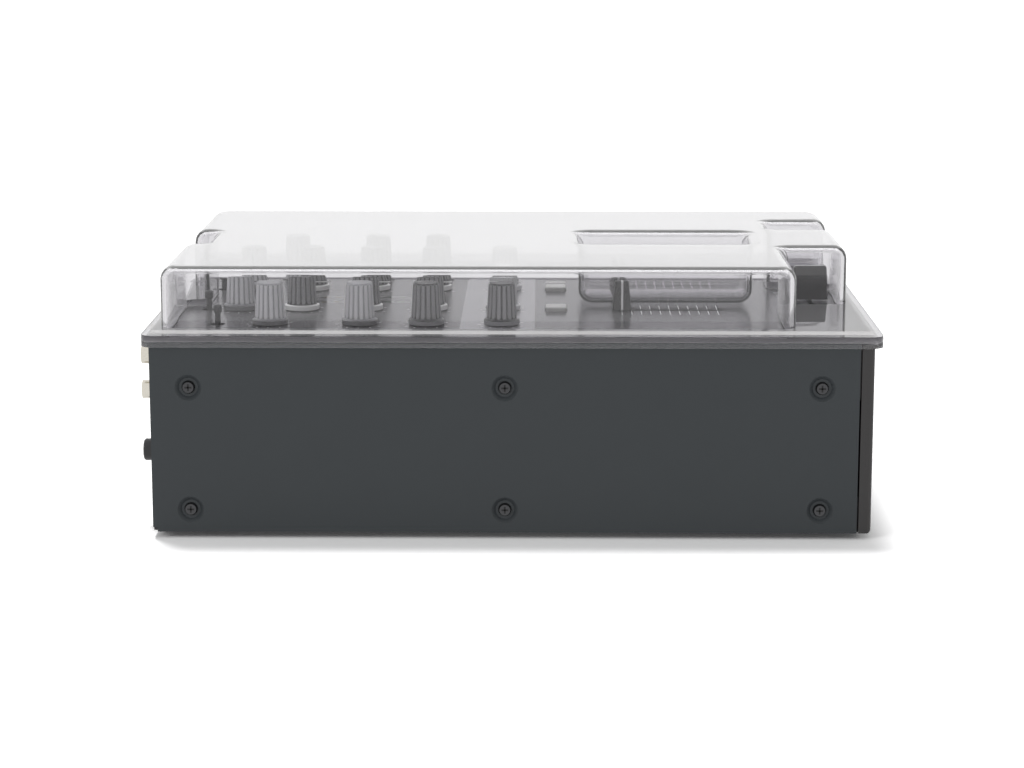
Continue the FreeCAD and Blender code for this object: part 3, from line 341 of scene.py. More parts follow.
def noise_node(tree: bpy.types.NodeTree, place: bpy.types.NodeSocket, scale: object,
               detail: float) -> bpy.types.NodeSocket:
    """Add a noise texture.

    Args:
        tree: the tree that gets the node
        place: where the noise is read
        scale: socket or number
        detail: octaves of the noise
    Returns:
        The noise value.
    """
    node = tree.nodes.new("ShaderNodeTexNoise")
    feed_all(tree, node, {"Vector": place, "Scale": scale, "Detail": detail})
    return node.outputs["Fac"]


def place_group(tree: bpy.types.NodeTree, group: bpy.types.NodeTree, **values: object) -> bpy.types.Node:
    """Place a node group.

    Args:
        tree: the material's tree
        group: the group that is placed
        values: sockets or plain values by input name
    Returns:
        The group's node.
    """
    node = tree.nodes.new("ShaderNodeGroup")
    node.node_tree = group
    feed_all(tree, node, values)
    return node


def empty_group(name: str, inputs: dict[str, str], outputs: dict[str, str]) -> bpy.types.NodeTree:
    """Make a node group with nothing between its ends.

    Args:
        name: the group's name
        inputs: socket names and types
        outputs: socket names and types
    Returns:
        The group with its two end nodes, named in and out.
    """
    tree = bpy.data.node_groups.new(name, "ShaderNodeTree")
    for label, kind in inputs.items():
        tree.interface.new_socket(name=label, in_out="INPUT", socket_type=kind)
    for label, kind in outputs.items():
        tree.interface.new_socket(name=label, in_out="OUTPUT", socket_type=kind)
    tree.nodes.new("NodeGroupInput").name = "in"
    tree.nodes.new("NodeGroupOutput").name = "out"
    return tree


def blank_material(name: str) -> tuple[bpy.types.Material, bpy.types.Node, bpy.types.NodeSocket]:
    """Make a material with one shader.

    Args:
        name: the material's name
    Returns:
        The material, its shader and the object coordinates.
    """
    material = bpy.data.materials.new(name)
    material.use_nodes = True
    shader = first_node(material.node_tree, "BSDF_PRINCIPLED")
    place = material.node_tree.nodes.new("ShaderNodeTexCoord").outputs["Object"]
    return material, shader, place


@dataclass(frozen=True)
class Grain:
    """The cloudy colour and fine grain of a surface."""

    fine_detail: float = 3.0
    cloud_detail: float = 4.0
    cloud_scale: float = 0.02
    fine_share: float = 0.45
    cloud_share: float = 0.55
    middle: float = 0.5

    def group(self) -> bpy.types.NodeTree:
        """Build the effect.

        Returns:
            A group that puts out colour, roughness and height.
        """
        tree = empty_group(
            "surface_grain",
            {"Vector": "NodeSocketVector", "Stretch": "NodeSocketVector", "Scale": "NodeSocketFloat",
             "Colour": "NodeSocketColor", "Shade": "NodeSocketColor", "Roughness": "NodeSocketFloat",
             "Spread": "NodeSocketFloat"},
            {"Colour": "NodeSocketColor", "Roughness": "NodeSocketFloat", "Height": "NodeSocketFloat"},
        )
        given = tree.nodes["in"].outputs
        drawn = tree.nodes.new("ShaderNodeVectorMath")
        drawn.operation = "MULTIPLY"
        tree.links.new(given["Vector"], drawn.inputs[0])
        tree.links.new(given["Stretch"], drawn.inputs[1])
        fine = noise_node(tree, drawn.outputs[0], given["Scale"], self.fine_detail)
        broad = math_node(tree, "MULTIPLY", given["Scale"], self.cloud_scale)
        cloud = noise_node(tree, drawn.outputs[0], broad, self.cloud_detail)
        share = math_node(tree, "MULTIPLY", cloud, self.cloud_share)
        both = math_node(tree, "MULTIPLY_ADD", fine, self.fine_share, share)
        offset = math_node(tree, "SUBTRACT", both, self.middle)
        feed_all(tree, tree.nodes["out"], {
            "Colour": mix_node(tree, both, given["Colour"], given["Shade"]),
            "Roughness": math_node(tree, "MULTIPLY_ADD", offset, given["Spread"], given["Roughness"]),
            "Height": fine,
        })
        return tree


@dataclass(frozen=True)
class Specks:
    """Specks of fine dust, scattered in patches."""

    cell_scale: float = 700.0
    radius: float = 0.10
    patch_scale: float = 60.0
    patch_detail: float = 2.0
    patch_level: float = 0.52
    colour: Colour = (0.55, 0.55, 0.54)
    on_clear: float = 0.08

    def group(self) -> bpy.types.NodeTree:
        """Build the effect.

        Returns:
            A group that puts out a mask.
        """
        tree = empty_group(
            "dust_specks",
            {"Vector": "NodeSocketVector", "Amount": "NodeSocketFloat"},
            {"Mask": "NodeSocketFloat"},
        )
        given = tree.nodes["in"].outputs
        cells = tree.nodes.new("ShaderNodeTexVoronoi")
        feed_all(tree, cells, {"Vector": given["Vector"], "Scale": self.cell_scale})
        near = math_node(tree, "LESS_THAN", cells.outputs["Distance"], self.radius)
        patch = noise_node(tree, given["Vector"], self.patch_scale, self.patch_detail)
        some = math_node(tree, "GREATER_THAN", patch, self.patch_level)
        spots = math_node(tree, "MULTIPLY", near, some)
        mask = math_node(tree, "MULTIPLY", spots, given["Amount"])
        feed(tree, tree.nodes["out"].inputs["Mask"], mask)
        return tree


@dataclass(frozen=True)
class FluteShading:
    """Painted highlight on the ridges between a knob's flutes, and painted shade in its grooves, read from
    occlusion.
    """

    samples: int = 16
    reach: float = 0.0015
    open_level: float = 0.70
    sharpness: float = 4.0
    upright_limit: float = 0.5

    def group(self) -> bpy.types.NodeTree:
        """Build the effect.

        Returns:
            A group that puts out a mask.
        """
        tree = empty_group("painted_flute_shade", {"Reach": "NodeSocketFloat"}, {"Mask": "NodeSocketFloat"})
        hollow = tree.nodes.new("ShaderNodeAmbientOcclusion")
        hollow.samples = self.samples
        hollow.only_local = True
        tree.links.new(tree.nodes["in"].outputs["Reach"], hollow.inputs["Distance"])
        # Where the occlusion opens up the mask rises: painted highlight on the ridges, painted shade left in
        # the grooves
        lifted = math_node(tree, "SUBTRACT", hollow.outputs["AO"], self.open_level)
        sharp = math_node(tree, "MULTIPLY", lifted, self.sharpness)
        facing = split_axes(tree, tree.nodes.new("ShaderNodeNewGeometry").outputs["Normal"])
        tilt = math_node(tree, "ABSOLUTE", facing["Z"])
        upright = math_node(tree, "LESS_THAN", tilt, self.upright_limit)
        mask = math_node(tree, "MULTIPLY", sharp, upright)
        limited = math_node(tree, "MINIMUM", math_node(tree, "MAXIMUM", mask, 0.0), 1.0)
        feed(tree, tree.nodes["out"].inputs["Mask"], limited)
        return tree


def between_group() -> bpy.types.NodeTree:
    """Build the effect that masks a stretch of one coordinate.

    Returns:
        A group that puts out a mask.
    """
    tree = empty_group(
        "between_levels",
        {"Value": "NodeSocketFloat", "Low": "NodeSocketFloat", "High": "NodeSocketFloat"},
        {"Mask": "NodeSocketFloat"},
    )
    given = tree.nodes["in"].outputs
    above = math_node(tree, "GREATER_THAN", given["Value"], given["Low"])
    below = math_node(tree, "LESS_THAN", given["Value"], given["High"])
    feed(tree, tree.nodes["out"].inputs["Mask"], math_node(tree, "MULTIPLY", above, below))
    return tree


@dataclass(frozen=True)
class Polish:
    """Values that all the lacquered and clear surfaces share."""

    coat_roughness: float = 0.08
    clear_grain: float = 350.0
    clear_spread: float = 0.02
    film_ior: float = 2.2
    film_roughness: float = 0.03
    film_slope: float = 0.8


class MaterialShop:
    """Makes each finish once, from shared node groups."""

    def __init__(self) -> None:
        """Build the shared groups and start with no materials."""
        self.made: dict[str, bpy.types.Material] = {}
        self.polish = Polish()
        self.dust = Specks()
        self.flute_shading = FluteShading()
        self.grain = Grain().group()
        self.between = between_group()
        self.specks = self.dust.group()
        self.ridges = self.flute_shading.group()

    def solid(self, finish: Finish) -> bpy.types.Material:
        """Make an opaque finish.

        Args:
            finish: what the surface looks like
        Returns:
            The material, made once.
        """
        if finish.name in self.made:
            return self.made[finish.name]
        material, shader, place = blank_material(finish.name)
        tree = material.node_tree
        grain = place_group(tree, self.grain, Vector=place, Stretch=finish.stretch.value, Scale=finish.grain,
                            Colour=finish.colour, Shade=finish.shade, Roughness=finish.roughness,
                            Spread=finish.spread)
        colour = self._marked(tree, place, grain.outputs["Colour"], finish)
        rough = grain.outputs["Roughness"]
        if finish.dust:
            specks = place_group(tree, self.specks, Vector=place, Amount=finish.dust).outputs["Mask"]
            colour = mix_node(tree, specks, colour, self.dust.colour)
            rough = math_node(tree, "ADD", rough, specks)
        bump = tree.nodes.new("ShaderNodeBump")
        feed_all(tree, bump, {
            "Strength": finish.relief, "Distance": finish.depth, "Height": grain.outputs["Height"],
        })
        feed_all(tree, shader, {
            "Base Color": colour, "Roughness": rough, "Normal": bump.outputs["Normal"],
            "Metallic": finish.metallic, "Coat Weight": finish.coat,
            "Coat Roughness": self.polish.coat_roughness, "Specular IOR Level": finish.specular,
        })
        self.made[finish.name] = material
        return material

    def _marked(self, tree: bpy.types.NodeTree, place: bpy.types.NodeSocket,
                colour: bpy.types.NodeSocket, finish: Finish) -> bpy.types.NodeSocket:
        """Lay the painted highlight of the flute ridges and the coloured bands over a colour.

        Args:
            tree: the material's tree
            place: the object coordinates
            colour: the colour below
            finish: the finish with its painted highlight colour and bands
        Returns:
            The colour with its marks.
        """
        # Painted highlight on the flute ridges over painted shade in the grooves
        if finish.ridge_highlight:
            ridges = place_group(tree, self.ridges, Reach=self.flute_shading.reach)
            colour = mix_node(tree, ridges.outputs["Mask"], colour, finish.ridge_highlight)
        if finish.bands:
            axes = split_axes(tree, place)
            for band in finish.bands:
                mask = place_group(tree, self.between, Value=axes[band.axis.value],
                                   Low=band.low, High=band.high)
                colour = mix_node(tree, mask.outputs["Mask"], colour, band.colour)
        return colour

    def clear(self, finish: ClearFinish) -> bpy.types.Material:
        """Make a clear plastic that lets most lamp light through.

        Args:
            finish: tint, polish and how much light it holds back
        Returns:
            The material, made once.
        """
        if finish.name in self.made:
            return self.made[finish.name]
        material, shader, place = blank_material(finish.name)
        tree = material.node_tree
        grain = place_group(tree, self.grain, Vector=place, Stretch=Stretch.EVEN.value,
                            Scale=self.polish.clear_grain, Colour=finish.tint, Shade=finish.shade,
                            Roughness=finish.roughness, Spread=self.polish.clear_spread)
        specks = place_group(tree, self.specks, Vector=place, Amount=self.dust.on_clear)
        rough = math_node(tree, "ADD", grain.outputs["Roughness"], specks.outputs["Mask"])
        if finish.film:
            rough = self._film(tree, shader, place, rough, finish)
        light = tree.nodes.new("ShaderNodeLightPath")
        alpha = math_node(tree, "MULTIPLY_ADD", light.outputs["Is Shadow Ray"], finish.shadow - 1.0, 1.0)
        feed_all(tree, shader, {
            "Base Color": grain.outputs["Colour"], "Roughness": rough, "Alpha": alpha,
            "Transmission Weight": 1.0, "IOR": finish.ior,
            "Sheen Weight": finish.haze, "Sheen Roughness": finish.haze_spread,
        })
        if finish.density:
            body = tree.nodes.new("ShaderNodeVolumeAbsorption")
            feed_all(tree, body, {"Color": finish.absorbed, "Density": finish.density})
            tree.links.new(body.outputs[0], first_node(tree, "OUTPUT_MATERIAL").inputs["Volume"])
        self.made[finish.name] = material
        return material

    def _film(self, tree: bpy.types.NodeTree, shader: bpy.types.Node, place: bpy.types.NodeSocket,
              rough: bpy.types.NodeSocket, finish: ClearFinish) -> bpy.types.NodeSocket:
        """Lay the mirror film on the roof and the satin on the seat.

        Args:
            tree: the material's tree
            shader: the material's shader
            place: the object coordinates
            rough: the roughness below
            finish: the clear plastic with its film and satin
        Returns:
            The roughness with the satin seat.
        """
        facing = split_axes(tree, tree.nodes.new("ShaderNodeNewGeometry").outputs["Normal"])
        height = split_axes(tree, place)["Z"]
        upward = math_node(tree, "GREATER_THAN", facing["Z"], self.polish.film_slope)
        high = math_node(tree, "GREATER_THAN", height, ROOF_LEVEL)
        roof = math_node(tree, "MULTIPLY", upward, high)
        feed_all(tree, shader, {
            "Coat Weight": math_node(tree, "MULTIPLY", roof, finish.film),
            "Coat IOR": self.polish.film_ior, "Coat Roughness": self.polish.film_roughness,
        })
        seat = place_group(tree, self.between, Value=height, Low=SEAT_LOW, High=SEAT_HIGH)
        return math_node(tree, "MULTIPLY_ADD", seat.outputs["Mask"], finish.satin, rough)


@dataclass
class Workbench:
    """Turns meshes into pieces that ride on the part's bodies.

    Args:
        shop: the maker of materials
        merge: how close the points of a node are merged, in metres
        slots: the record's slot of each node; not used
    """

    shop: MaterialShop
    merge: float = 0.002 * MM
    slots: dict[str, str] = field(default_factory=lambda: {
        row["node"]: row["material_slot"] for row in frame["record"]["subparts"]
    })

    def dress(self, node: str, material: bpy.types.Material) -> None:
        """Give a node of the frame its finish.

        Args:
            node: the node's name
            material: its surface
        """
        thing = frame["nodes"][node]
        thing.data.materials.clear()
        thing.data.materials.append(material)
        LOG.info("dressed %s", node)

    def piece(self, name: str, mesh: bmesh.types.BMesh, body: str, material: bpy.types.Material,
              smooth: Optional[float] = None) -> bpy.types.Object:
        """Finish a new piece.

        Args:
            name: the piece's name
            mesh: its shape, in the frame
            body: the body that it rides on
            material: its surface
            smooth: the angle in degrees above which edges stay sharp
        Returns:
            The new object.
        """
        data = bpy.data.meshes.new(name)
        mesh.to_mesh(data)
        mesh.free()
        data.materials.append(material)
        thing = bpy.data.objects.new(name, data)
        bpy.context.scene.collection.objects.link(thing)
        if smooth is not None:
            # Normals copied from a node would bend the view through clear plastic
            if "custom_normal" in data.attributes:
                data.attributes.remove(data.attributes["custom_normal"])
            data.shade_smooth()
            data.set_sharp_from_angle(angle=math.radians(smooth))
            normals = thing.modifiers.new("even_normals", "WEIGHTED_NORMAL")
            normals.keep_sharp = True
        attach(thing, body)
        LOG.info("built %s", name)
        return thing

    def refined(self, node: str, material: bpy.types.Material, body: str, smooth: float) -> bpy.types.Object:
        """Stand a smooth copy in for a node.

        Args:
            node: the node that is copied
            material: its surface
            body: the body that it rides on
            smooth: the angle in degrees above which edges stay sharp
        Returns:
            The smooth piece.
        """
        mesh = bmesh.new()
        mesh.from_mesh(frame["nodes"][node].data)
        bmesh.ops.remove_doubles(mesh, verts=mesh.verts, dist=self.merge)
        thing = self.piece(f"{node}_smooth", mesh, body, material, smooth)
        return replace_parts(thing, node)


def slab(mesh: bmesh.types.BMesh, centre: Place, size: Place, turn: float = 0.0) -> None:
    """Add a small flat slab to a mesh.

    Args:
        mesh: the mesh that grows
        centre: the slab's middle
        size: its length along each axis
        turn: its turn about Z in radians
    """
    place = Matrix.Translation(centre) @ Matrix.Rotation(turn, 4, "Z") @ Matrix.Diagonal((*size, 1.0))
    bmesh.ops.create_cube(mesh, size=1.0, matrix=place)


def ring(mesh: bmesh.types.BMesh, axis: Point, radii: Point, ends: Point, steps: int) -> None:
    """Add a flat ring about a line along Y.

    Args:
        mesh: the mesh that grows
        axis: where the line stands, in X and Z
        radii: of the hole and of the rim
        ends: the two faces along Y
        steps: sides of the ring
    """
    (x, z), (inner, outer), (low, high) = axis, radii, ends
    corners = [(inner, low), (outer, low), (outer, high), (inner, high)]
    points = [mesh.verts.new((x + radius, y, z)) for radius, y in corners]
    edges = [mesh.edges.new((points[i], points[(i + 1) % 4])) for i in range(4)]
    bmesh.ops.spin(mesh, geom=points + edges, cent=(x, 0.0, z), axis=(0.0, 1.0, 0.0), dvec=(0.0, 0.0, 0.0),
                   angle=math.tau, steps=steps, use_merge=True, use_duplicate=False)


class KnobStyle(Enum):
    """The four kinds of knob on the panel."""

    GREY = KNOB_GREY
    DARK = KNOB_DARK
    TONE = KNOB_TONE
    SILVER = KNOB_SILVER


@dataclass
class Knobs:
    """The seventeen knobs with their pointer lines.

    Args:
        outer_x: how far the outer columns stand from the middle
        channel_x: how far the channel columns stand from the middle
        smooth: the angle in degrees above which edges stay sharp
        line_half_width: half of a pointer line's width
        profile: the line's outline, from the knob's axis and foot, in mm
        rows: where the rows stand along the depth
    """

    outer_x: float = 0.071
    channel_x: float = 0.030
    smooth: float = 24.0
    line_half_width: float = 0.45 * MM
    profile: tuple[Point, ...] = (
        (1.6, 19.46), (5.32, 19.46), (6.05, 18.72), (6.93, 3.4),
        (6.2, 3.4), (5.3, 18.2), (4.9, 18.7), (1.6, 18.7),
    )
    rows: dict[str, float] = field(default_factory=lambda: {
        "trim": 0.129, "level": 0.111, "high": 0.100, "mid": 0.070, "low": 0.0395, "effect": 0.005,
    })

    def places(self) -> Iterable[tuple[str, float, float, KnobStyle]]:
        """List the knobs.

        Returns:
            Each knob's node, its axis in X and Y, and its kind.
        """
        left, right = -self.outer_x, self.outer_x
        yield "mic_level_knob", left, self.rows["level"], KnobStyle.GREY
        yield "mic_tone_knob", left, self.rows["mid"], KnobStyle.GREY
        yield "phones_mix_knob", left, self.rows["low"], KnobStyle.DARK
        yield "phones_level_knob", left, self.rows["effect"], KnobStyle.DARK
        yield "master_level_knob", right, self.rows["level"], KnobStyle.GREY
        yield "booth_level_knob", right, self.rows["mid"], KnobStyle.DARK
        yield "monitor_tone_knob", right, self.rows["low"], KnobStyle.DARK
        for channel, x in (("1", -self.channel_x), ("2", self.channel_x)):
            yield f"trim_knob_{channel}", x, self.rows["trim"], KnobStyle.GREY
            for role in ("high", "mid", "low"):
                yield f"{role}_knob_{channel}", x, self.rows[role], KnobStyle.TONE
            yield f"effect_knob_{channel}", x, self.rows["effect"], KnobStyle.SILVER

    def pointer(self, x: float, y: float) -> bmesh.types.BMesh:
        """Shape the line that runs over a knob's crown and down its flute.

        Args:
            x: the knob's axis
            y: the knob's axis
        Returns:
            The line's mesh.
        """
        mesh = bmesh.new()
        start = x - self.line_half_width
        points = [mesh.verts.new((start, y + across * MM, PANEL_TOP + up * MM)) for across, up in self.profile]
        face = mesh.faces.new(points)
        grown = bmesh.ops.extrude_face_region(mesh, geom=[face])
        moved = [item for item in grown["geom"] if isinstance(item, bmesh.types.BMVert)]
        bmesh.ops.translate(mesh, verts=moved, vec=(2 * self.line_half_width, 0.0, 0.0))
        bmesh.ops.recalc_face_normals(mesh, faces=mesh.faces)
        return mesh

    def build(self, bench: Workbench) -> None:
        """Build and dress every knob.

        Args:
            bench: where the pieces are made
        """
        for name, x, y, style in self.places():
            bench.refined(name, bench.shop.solid(style.value), name, self.smooth)
            finish = BLACK_LINE_AND_RECESS_SHADE if style is KnobStyle.SILVER else MARK_WHITE
            bench.piece(f"{name}_line", self.pointer(x, y), name, bench.shop.solid(finish))


@dataclass
class PanelMarks:
    """Ticks round the knobs and beside the faders, printed on the panel."""

    slot: str = "button_grey"
    thick: float = 0.06 * MM
    tick_inner: float = 9.7 * MM
    tick_outer: float = 11.1 * MM
    tick_width: float = 0.4 * MM
    tick_count: int = 11
    long_every: int = 5
    sweep: float = math.radians(150.0)
    fader_x: float = 0.030
    fader_start: float = -0.051
    fader_pitch: float = 4.5 * MM
    fader_offset: float = 7.6 * MM
    fader_long: float = 11.0 * MM
    fader_short: float = 10.0 * MM
    cross_y: float = -0.1285
    cross_long: float = 3.4 * MM
    cross_short: float = 2.2 * MM

    @property
    def level(self) -> float:
        """Return the middle of the print's thickness."""
        return PANEL_TOP + self.thick / 2

    def build(self, bench: Workbench, knobs: Knobs) -> None:
        """Build all the marks as one piece.

        Args:
            bench: where the piece is made
            knobs: the knobs that get ticks
        """
        mesh = bmesh.new()
        for _, x, y, _ in knobs.places():
            self._round(mesh, x, y)
        for side in (-1, 1):
            self._beside(mesh, side * self.fader_x)
        for step in range(self.tick_count):
            x = (step - (self.tick_count - 1) / 2) * self.fader_pitch
            length = self.cross_short if step % self.long_every else self.cross_long
            slab(mesh, (x, self.cross_y, self.level), (self.tick_width, length, self.thick))
        bench.piece("panel_marks", mesh, CHASSIS, bench.shop.solid(MARK_WHITE))

    def _beside(self, mesh: bmesh.types.BMesh, middle: float) -> None:
        """Add the ticks on both sides of a channel fader.

        Args:
            mesh: the mesh that grows
            middle: the fader's place in X
        """
        for step in range(self.tick_count):
            length = self.fader_short if step % self.long_every else self.fader_long
            y = self.fader_start - step * self.fader_pitch
            for edge in (-1, 1):
                x = middle + edge * self.fader_offset
                slab(mesh, (x, y, self.level), (length, self.tick_width, self.thick))

    def _round(self, mesh: bmesh.types.BMesh, x: float, y: float) -> None:
        """Add the ticks round one knob.

        Args:
            mesh: the mesh that grows
            x: the knob's axis
            y: the knob's axis
        """
        middle = (self.tick_inner + self.tick_outer) / 2
        size = (self.tick_width, self.tick_outer - self.tick_inner, self.thick)
        for step in range(self.tick_count):
            turn = self.sweep * (2 * step / (self.tick_count - 1) - 1)
            slab(mesh, (x - middle * math.sin(turn), y + middle * math.cos(turn), self.level), size, turn)


@dataclass
class Controls:
    """Fader caps, push buttons and levers."""

    faders: tuple[tuple[str, Finish], ...] = (
        ("channel_1_fader", CHANNEL_CAP), ("channel_2_fader", CHANNEL_CAP), ("crossfader", CROSS_CAP),
    )
    buttons: tuple[str, ...] = ("cue_button_1", "cue_button_2")
    levers: tuple[str, ...] = (
        "mic_switch_lever", "input_selector_1", "input_selector_2", "effect_switch_lever", "power_button",
    )
    cap_smooth: float = 38.0
    lever_smooth: float = 50.0

    def build(self, bench: Workbench) -> None:
        """Dress every control.

        Args:
            bench: where the pieces are made
        """
        for name, finish in self.faders:
            bench.refined(name, bench.shop.solid(finish), name, self.cap_smooth)
        for name in self.buttons:
            bench.refined(name, bench.shop.solid(BUTTON_GREY), name, self.cap_smooth)
        for name in self.levers:
            bench.refined(name, bench.shop.solid(LEVER_BLACK), name, self.lever_smooth)


@dataclass
class Case:
    """The case's own pieces and dark crosses on its screw heads, painted shade for the screws' recesses."""

    half_width: float = 0.119
    head_sink: float = 0.1 * MM
    recess_proud: float = 0.03 * MM
    recess_length: float = 3.1 * MM
    recess_width: float = 0.75 * MM
    recess_depth: float = 0.5 * MM
    recess_slot: str = "screw_black"
    screw_rows: tuple[float, ...] = (0.143, 0.003, -0.137)
    screw_levels: tuple[float, ...] = (0.0132, 0.0685)
    smooth: float = 30.0
    smooth_nodes: tuple[str, ...] = (
        "front_panel", "side_screws", "left_side_panel", "right_side_panel", "feet",
    )

    def build(self, bench: Workbench) -> None:
        """Dress the case and add the screws' recesses.

        Args:
            Dress the case and add the painted shade of the screws' recesses.
        """
        for node, finish in STATIC_FINISHES.items():
            if node not in self.smooth_nodes:
                bench.dress(node, bench.shop.solid(finish))
        for node in self.smooth_nodes:
            bench.refined(node, bench.shop.solid(STATIC_FINISHES[node]), CHASSIS, self.smooth)
        # Dark crosses a hair proud of the screw heads: painted shade in place of cut recesses
        mesh = bmesh.new()
        reach = self.half_width - self.head_sink + self.recess_proud - self.recess_depth / 2
        for side in (-1, 1):
            for y in self.screw_rows:
                for z in self.screw_levels:
                    self._cross(mesh, (side * reach, y, z))
        bench.piece("screw_recess_shade", mesh, CHASSIS, bench.shop.solid(BLACK_LINE_AND_RECESS_SHADE))

    def _cross(self, mesh: bmesh.types.BMesh, centre: Place) -> None:
        """Add the two dark bars of one screw's recess, which paint its shade.

        Args:
            mesh: the mesh that grows
            centre: the middle of the recess
        """
        slab(mesh, centre, (self.recess_depth, self.recess_length, self.recess_width))
        slab(mesh, centre, (self.recess_depth, self.recess_width, self.recess_length))


@dataclass
class Sockets:
    """Coloured sleeves and plated nuts of the sockets."""

    slot: str = "jack_metal"
    smooth: float = 40.0
    rear_y: float = 0.160
    front_y: float = -0.160
    rca_tip: float = 0.1675
    rca_x: tuple[float, ...] = (-0.089, -0.059, -0.029, 0.001, 0.031)
    rca_high: float = 0.078
    rca_low: float = 0.062
    sleeve_radii: Point = (1.7 * MM, 3.4 * MM)
    sleeve_depth: float = 1.0 * MM
    sleeve_proud: float = 0.05 * MM
    sleeve_sides: int = 24
    nut_radii: Point = (3.3 * MM, 5.6 * MM)
    mini_radii: Point = (1.85 * MM, 3.6 * MM)
    nut_sides: int = 32
    rear_proud: Point = (1.2 * MM, 2.3 * MM)
    front_proud: Point = (1.3 * MM, 0.5 * MM)
    rear_nuts: tuple[Point, ...] = ((0.070, 0.066), (0.096, 0.066), (0.083, 0.034))
    front_nut: Point = (-0.088, 0.034)
    mini_nut: Point = (-0.062, 0.034)

    def build(self, bench: Workbench) -> None:
        """Build the sleeves and nuts.

        Args:
            bench: where the pieces are made
        """
        ends = (self.rca_tip - self.sleeve_depth, self.rca_tip + self.sleeve_proud)
        rows = (("cream_sleeves", self.rca_high, SOCKET_CREAM), ("red_sleeves", self.rca_low, SOCKET_RED))
        for name, z, finish in rows:
            mesh = bmesh.new()
            for x in self.rca_x:
                ring(mesh, (x, z), self.sleeve_radii, ends, self.sleeve_sides)
            self._finish(bench, name, mesh, finish)
        nuts = bmesh.new()
        rear = (self.rear_y + self.rear_proud[0], self.rear_y + self.rear_proud[1])
        front = (self.front_y - self.front_proud[0], self.front_y - self.front_proud[1])
        for axis in self.rear_nuts:
            ring(nuts, axis, self.nut_radii, rear, self.nut_sides)
        ring(nuts, self.front_nut, self.nut_radii, front, self.nut_sides)
        ring(nuts, self.mini_nut, self.mini_radii, front, self.nut_sides)
        self._finish(bench, "socket_nuts", nuts, NICKEL)

    def _finish(self, bench: Workbench, name: str, mesh: bmesh.types.BMesh, finish: Finish) -> None:
        """Turn a mesh of rings into a piece.

        Args:
            bench: where the piece is made
            name: the piece's name
            mesh: its rings
            finish: its surface
        """
        bmesh.ops.recalc_face_normals(mesh, faces=mesh.faces)
        bench.piece(name, mesh, CHASSIS, bench.shop.solid(finish), self.smooth)


@dataclass
class DustCover:
    """The clear cover, the satin on its ledge and the strips over the meters."""

    node: str = "dust_cover"
    strips: str = "meter_lenses"
    smooth: float = 34.0
    band_middle: float = 0.1123
    band_size: Place = (0.0090, 0.3200, 0.00006)

    def build(self, bench: Workbench) -> None:
        """Dress the clear pieces.

        Args:
            bench: where the pieces are made
        """
        bench.refined(self.node, bench.shop.clear(COVER_CLEAR), self.node, self.smooth)
        bands = bmesh.new()
        level = LEDGE_TOP + self.band_size[2]
        for side in (-1, 1):
            slab(bands, (side * self.band_middle, 0.0, level), self.band_size)
        bench.piece("ledge_bands", bands, self.node, bench.shop.clear(LEDGE_SATIN))
        bench.dress(self.strips, bench.shop.clear(METER_CLEAR))


@dataclass(frozen=True)
class Lamp:
    """A square soft lamp.

    Args:
        name: its name
        place: where it hangs, in metres
        size: the length of its sides
        power: its power in watts
    """

    name: str
    place: Place
    size: float
    power: float


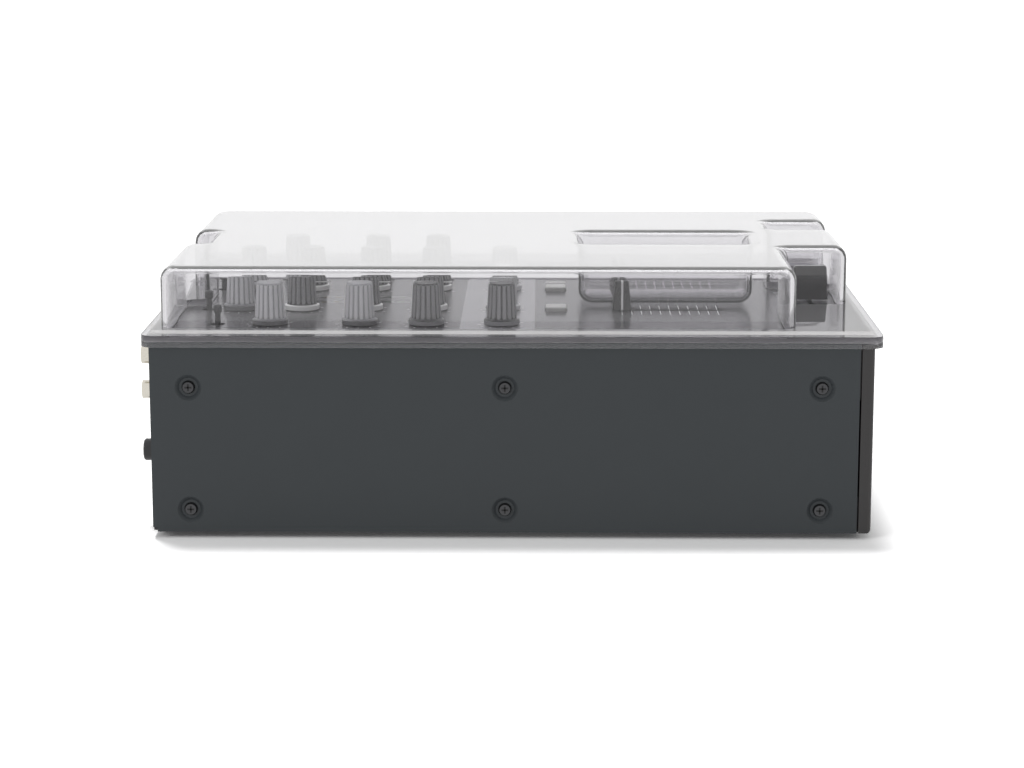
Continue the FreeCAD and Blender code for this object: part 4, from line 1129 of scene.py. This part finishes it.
@dataclass
class Studio:
    """Pale floor, soft lamps, white surroundings and the camera."""

    floor_size: float = 30.0
    floor_grain: float = 40.0
    floor_colour: Colour = (0.86, 0.86, 0.86)
    floor_shade: Colour = (0.84, 0.84, 0.84)
    floor_gain: float = 1.35
    white: float = 1.0
    sky: float = 0.40
    sun_from: Place = (0.25, 0.10, 0.9)
    sun_strength: float = 2.2
    sun_angle: float = math.radians(15.0)
    lamps: tuple[Lamp, ...] = (
        Lamp("rear_left_lamp", (-1.3, 1.3, 0.9), 0.7, 8.0),
        Lamp("front_lamp", (-0.9, -1.5, 1.0), 0.7, 4.0),
    )
    lamp_aim: Place = (0.0, 0.0, 0.06)
    camera_place: Place = (-1.2528, -0.0134, 0.2918)
    yaw: float = math.radians(0.667)
    pitch: float = math.radians(11.0435)
    lens: float = 92.11
    sensor: float = 36.0
    far: float = 100.0

    def build(self, shop: MaterialShop) -> None:
        """Set up floor, surroundings, lamps and camera.

        Args:
            shop: the maker of the shared node groups
        """
        bpy.context.scene.view_settings.view_transform = "Standard"
        self._floor(shop)
        self._world()
        self._sun()
        for lamp in self.lamps:
            self._lamp(lamp)
        self._camera()

    def _floor(self, shop: MaterialShop) -> None:
        """Lay the floor, which keeps the shadow and looks white in gloss and glass.

        Args:
            shop: the maker of the shared node groups
        """
        mesh = bmesh.new()
        bmesh.ops.create_grid(mesh, x_segments=1, y_segments=1, size=self.floor_size / 2)
        data = bpy.data.meshes.new("floor")
        mesh.to_mesh(data)
        mesh.free()
        material, shader, place = blank_material("pale_floor")
        tree = material.node_tree
        tree.nodes.remove(shader)
        grain = place_group(tree, shop.grain, Vector=place, Stretch=Stretch.EVEN.value,
                            Scale=self.floor_grain, Colour=self.floor_colour, Shade=self.floor_shade)
        light = tree.nodes.new("ShaderNodeLightPath").outputs
        pale = tree.nodes.new("ShaderNodeBsdfDiffuse")
        seen = mix_node(tree, light["Is Camera Ray"], grain.outputs["Colour"], (self.floor_gain,) * 3)
        feed(tree, pale.inputs["Color"], seen)
        bright = tree.nodes.new("ShaderNodeEmission")
        feed(tree, bright.inputs["Strength"], self.white)
        mixed = tree.nodes.new("ShaderNodeMixShader")
        through = math_node(tree, "MAXIMUM", light["Is Glossy Ray"], light["Is Transmission Ray"])
        for slot, value in zip(mixed.inputs, (through, pale.outputs[0], bright.outputs[0])):
            feed(tree, slot, value)
        tree.links.new(mixed.outputs[0], first_node(tree, "OUTPUT_MATERIAL").inputs["Surface"])
        data.materials.append(material)
        floor = bpy.data.objects.new("floor", data)
        bpy.context.scene.collection.objects.link(floor)

    def _world(self) -> None:
        """Make the surroundings white to look at and softer as light."""
        world = bpy.data.worlds.new("studio")
        bpy.context.scene.world = world
        world.use_nodes = True
        tree = world.node_tree
        light = tree.nodes.new("ShaderNodeLightPath").outputs
        direct = math_node(tree, "ADD", light["Is Camera Ray"], light["Is Glossy Ray"])
        total = math_node(tree, "ADD", direct, light["Is Transmission Ray"])
        seen = math_node(tree, "MINIMUM", total, 1.0)
        feed_all(tree, first_node(tree, "BACKGROUND"), {
            "Color": (self.white,) * 3,
            "Strength": math_node(tree, "MULTIPLY_ADD", seen, self.white - self.sky, self.sky),
        })

    @staticmethod
    def _hang(data: bpy.types.Light, towards: Vector, place: Place = (0.0, 0.0, 0.0)) -> None:
        """Put a lamp in the scene, without its mirror image in the clear plastic.

        Args:
            data: the lamp, which still lights the part
            towards: the direction in which it shines
            place: where it hangs
        """
        lamp = bpy.data.objects.new(data.name, data)
        lamp.location = place
        lamp.rotation_euler = towards.to_track_quat("-Z", "Y").to_euler()
        lamp.visible_glossy = False
        lamp.visible_transmission = False
        bpy.context.scene.collection.objects.link(lamp)

    def _sun(self) -> None:
        """Add the broad light from above."""
        sun = bpy.data.lights.new("top_sun", "SUN")
        sun.energy = self.sun_strength
        sun.angle = self.sun_angle
        self._hang(sun, -Vector(self.sun_from))

    def _lamp(self, lamp: Lamp) -> None:
        """Add one soft lamp.

        Args:
            lamp: its place, size and power
        """
        data = bpy.data.lights.new(lamp.name, "AREA")
        data.shape = "SQUARE"
        data.size = lamp.size
        data.energy = lamp.power
        self._hang(data, Vector(self.lamp_aim) - Vector(lamp.place), lamp.place)

    def _camera(self) -> None:
        """Set the camera at the photograph's viewing angle."""
        data = bpy.data.cameras.new("photo_camera")
        data.lens = self.lens
        data.sensor_width = self.sensor
        data.clip_end = self.far
        camera = bpy.data.objects.new("photo_camera", data)
        level = math.cos(self.pitch)
        forward = Vector((level * math.cos(self.yaw), level * math.sin(self.yaw), -math.sin(self.pitch)))
        camera.location = self.camera_place
        camera.rotation_euler = forward.to_track_quat("-Z", "Y").to_euler()
        bpy.context.scene.collection.objects.link(camera)
        bpy.context.scene.camera = camera


def main() -> None:
    """Build the sub-assemblies in order."""
    logging.basicConfig(level=logging.INFO, format="%(name)s: %(message)s")
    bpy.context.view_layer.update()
    bench = Workbench(MaterialShop())
    knobs = Knobs()
    Case().build(bench)
    knobs.build(bench)
    PanelMarks().build(bench, knobs)
    Controls().build(bench)
    Sockets().build(bench)
    DustCover().build(bench)
    Studio().build(bench.shop)


if __name__ == "__main__":
    main()
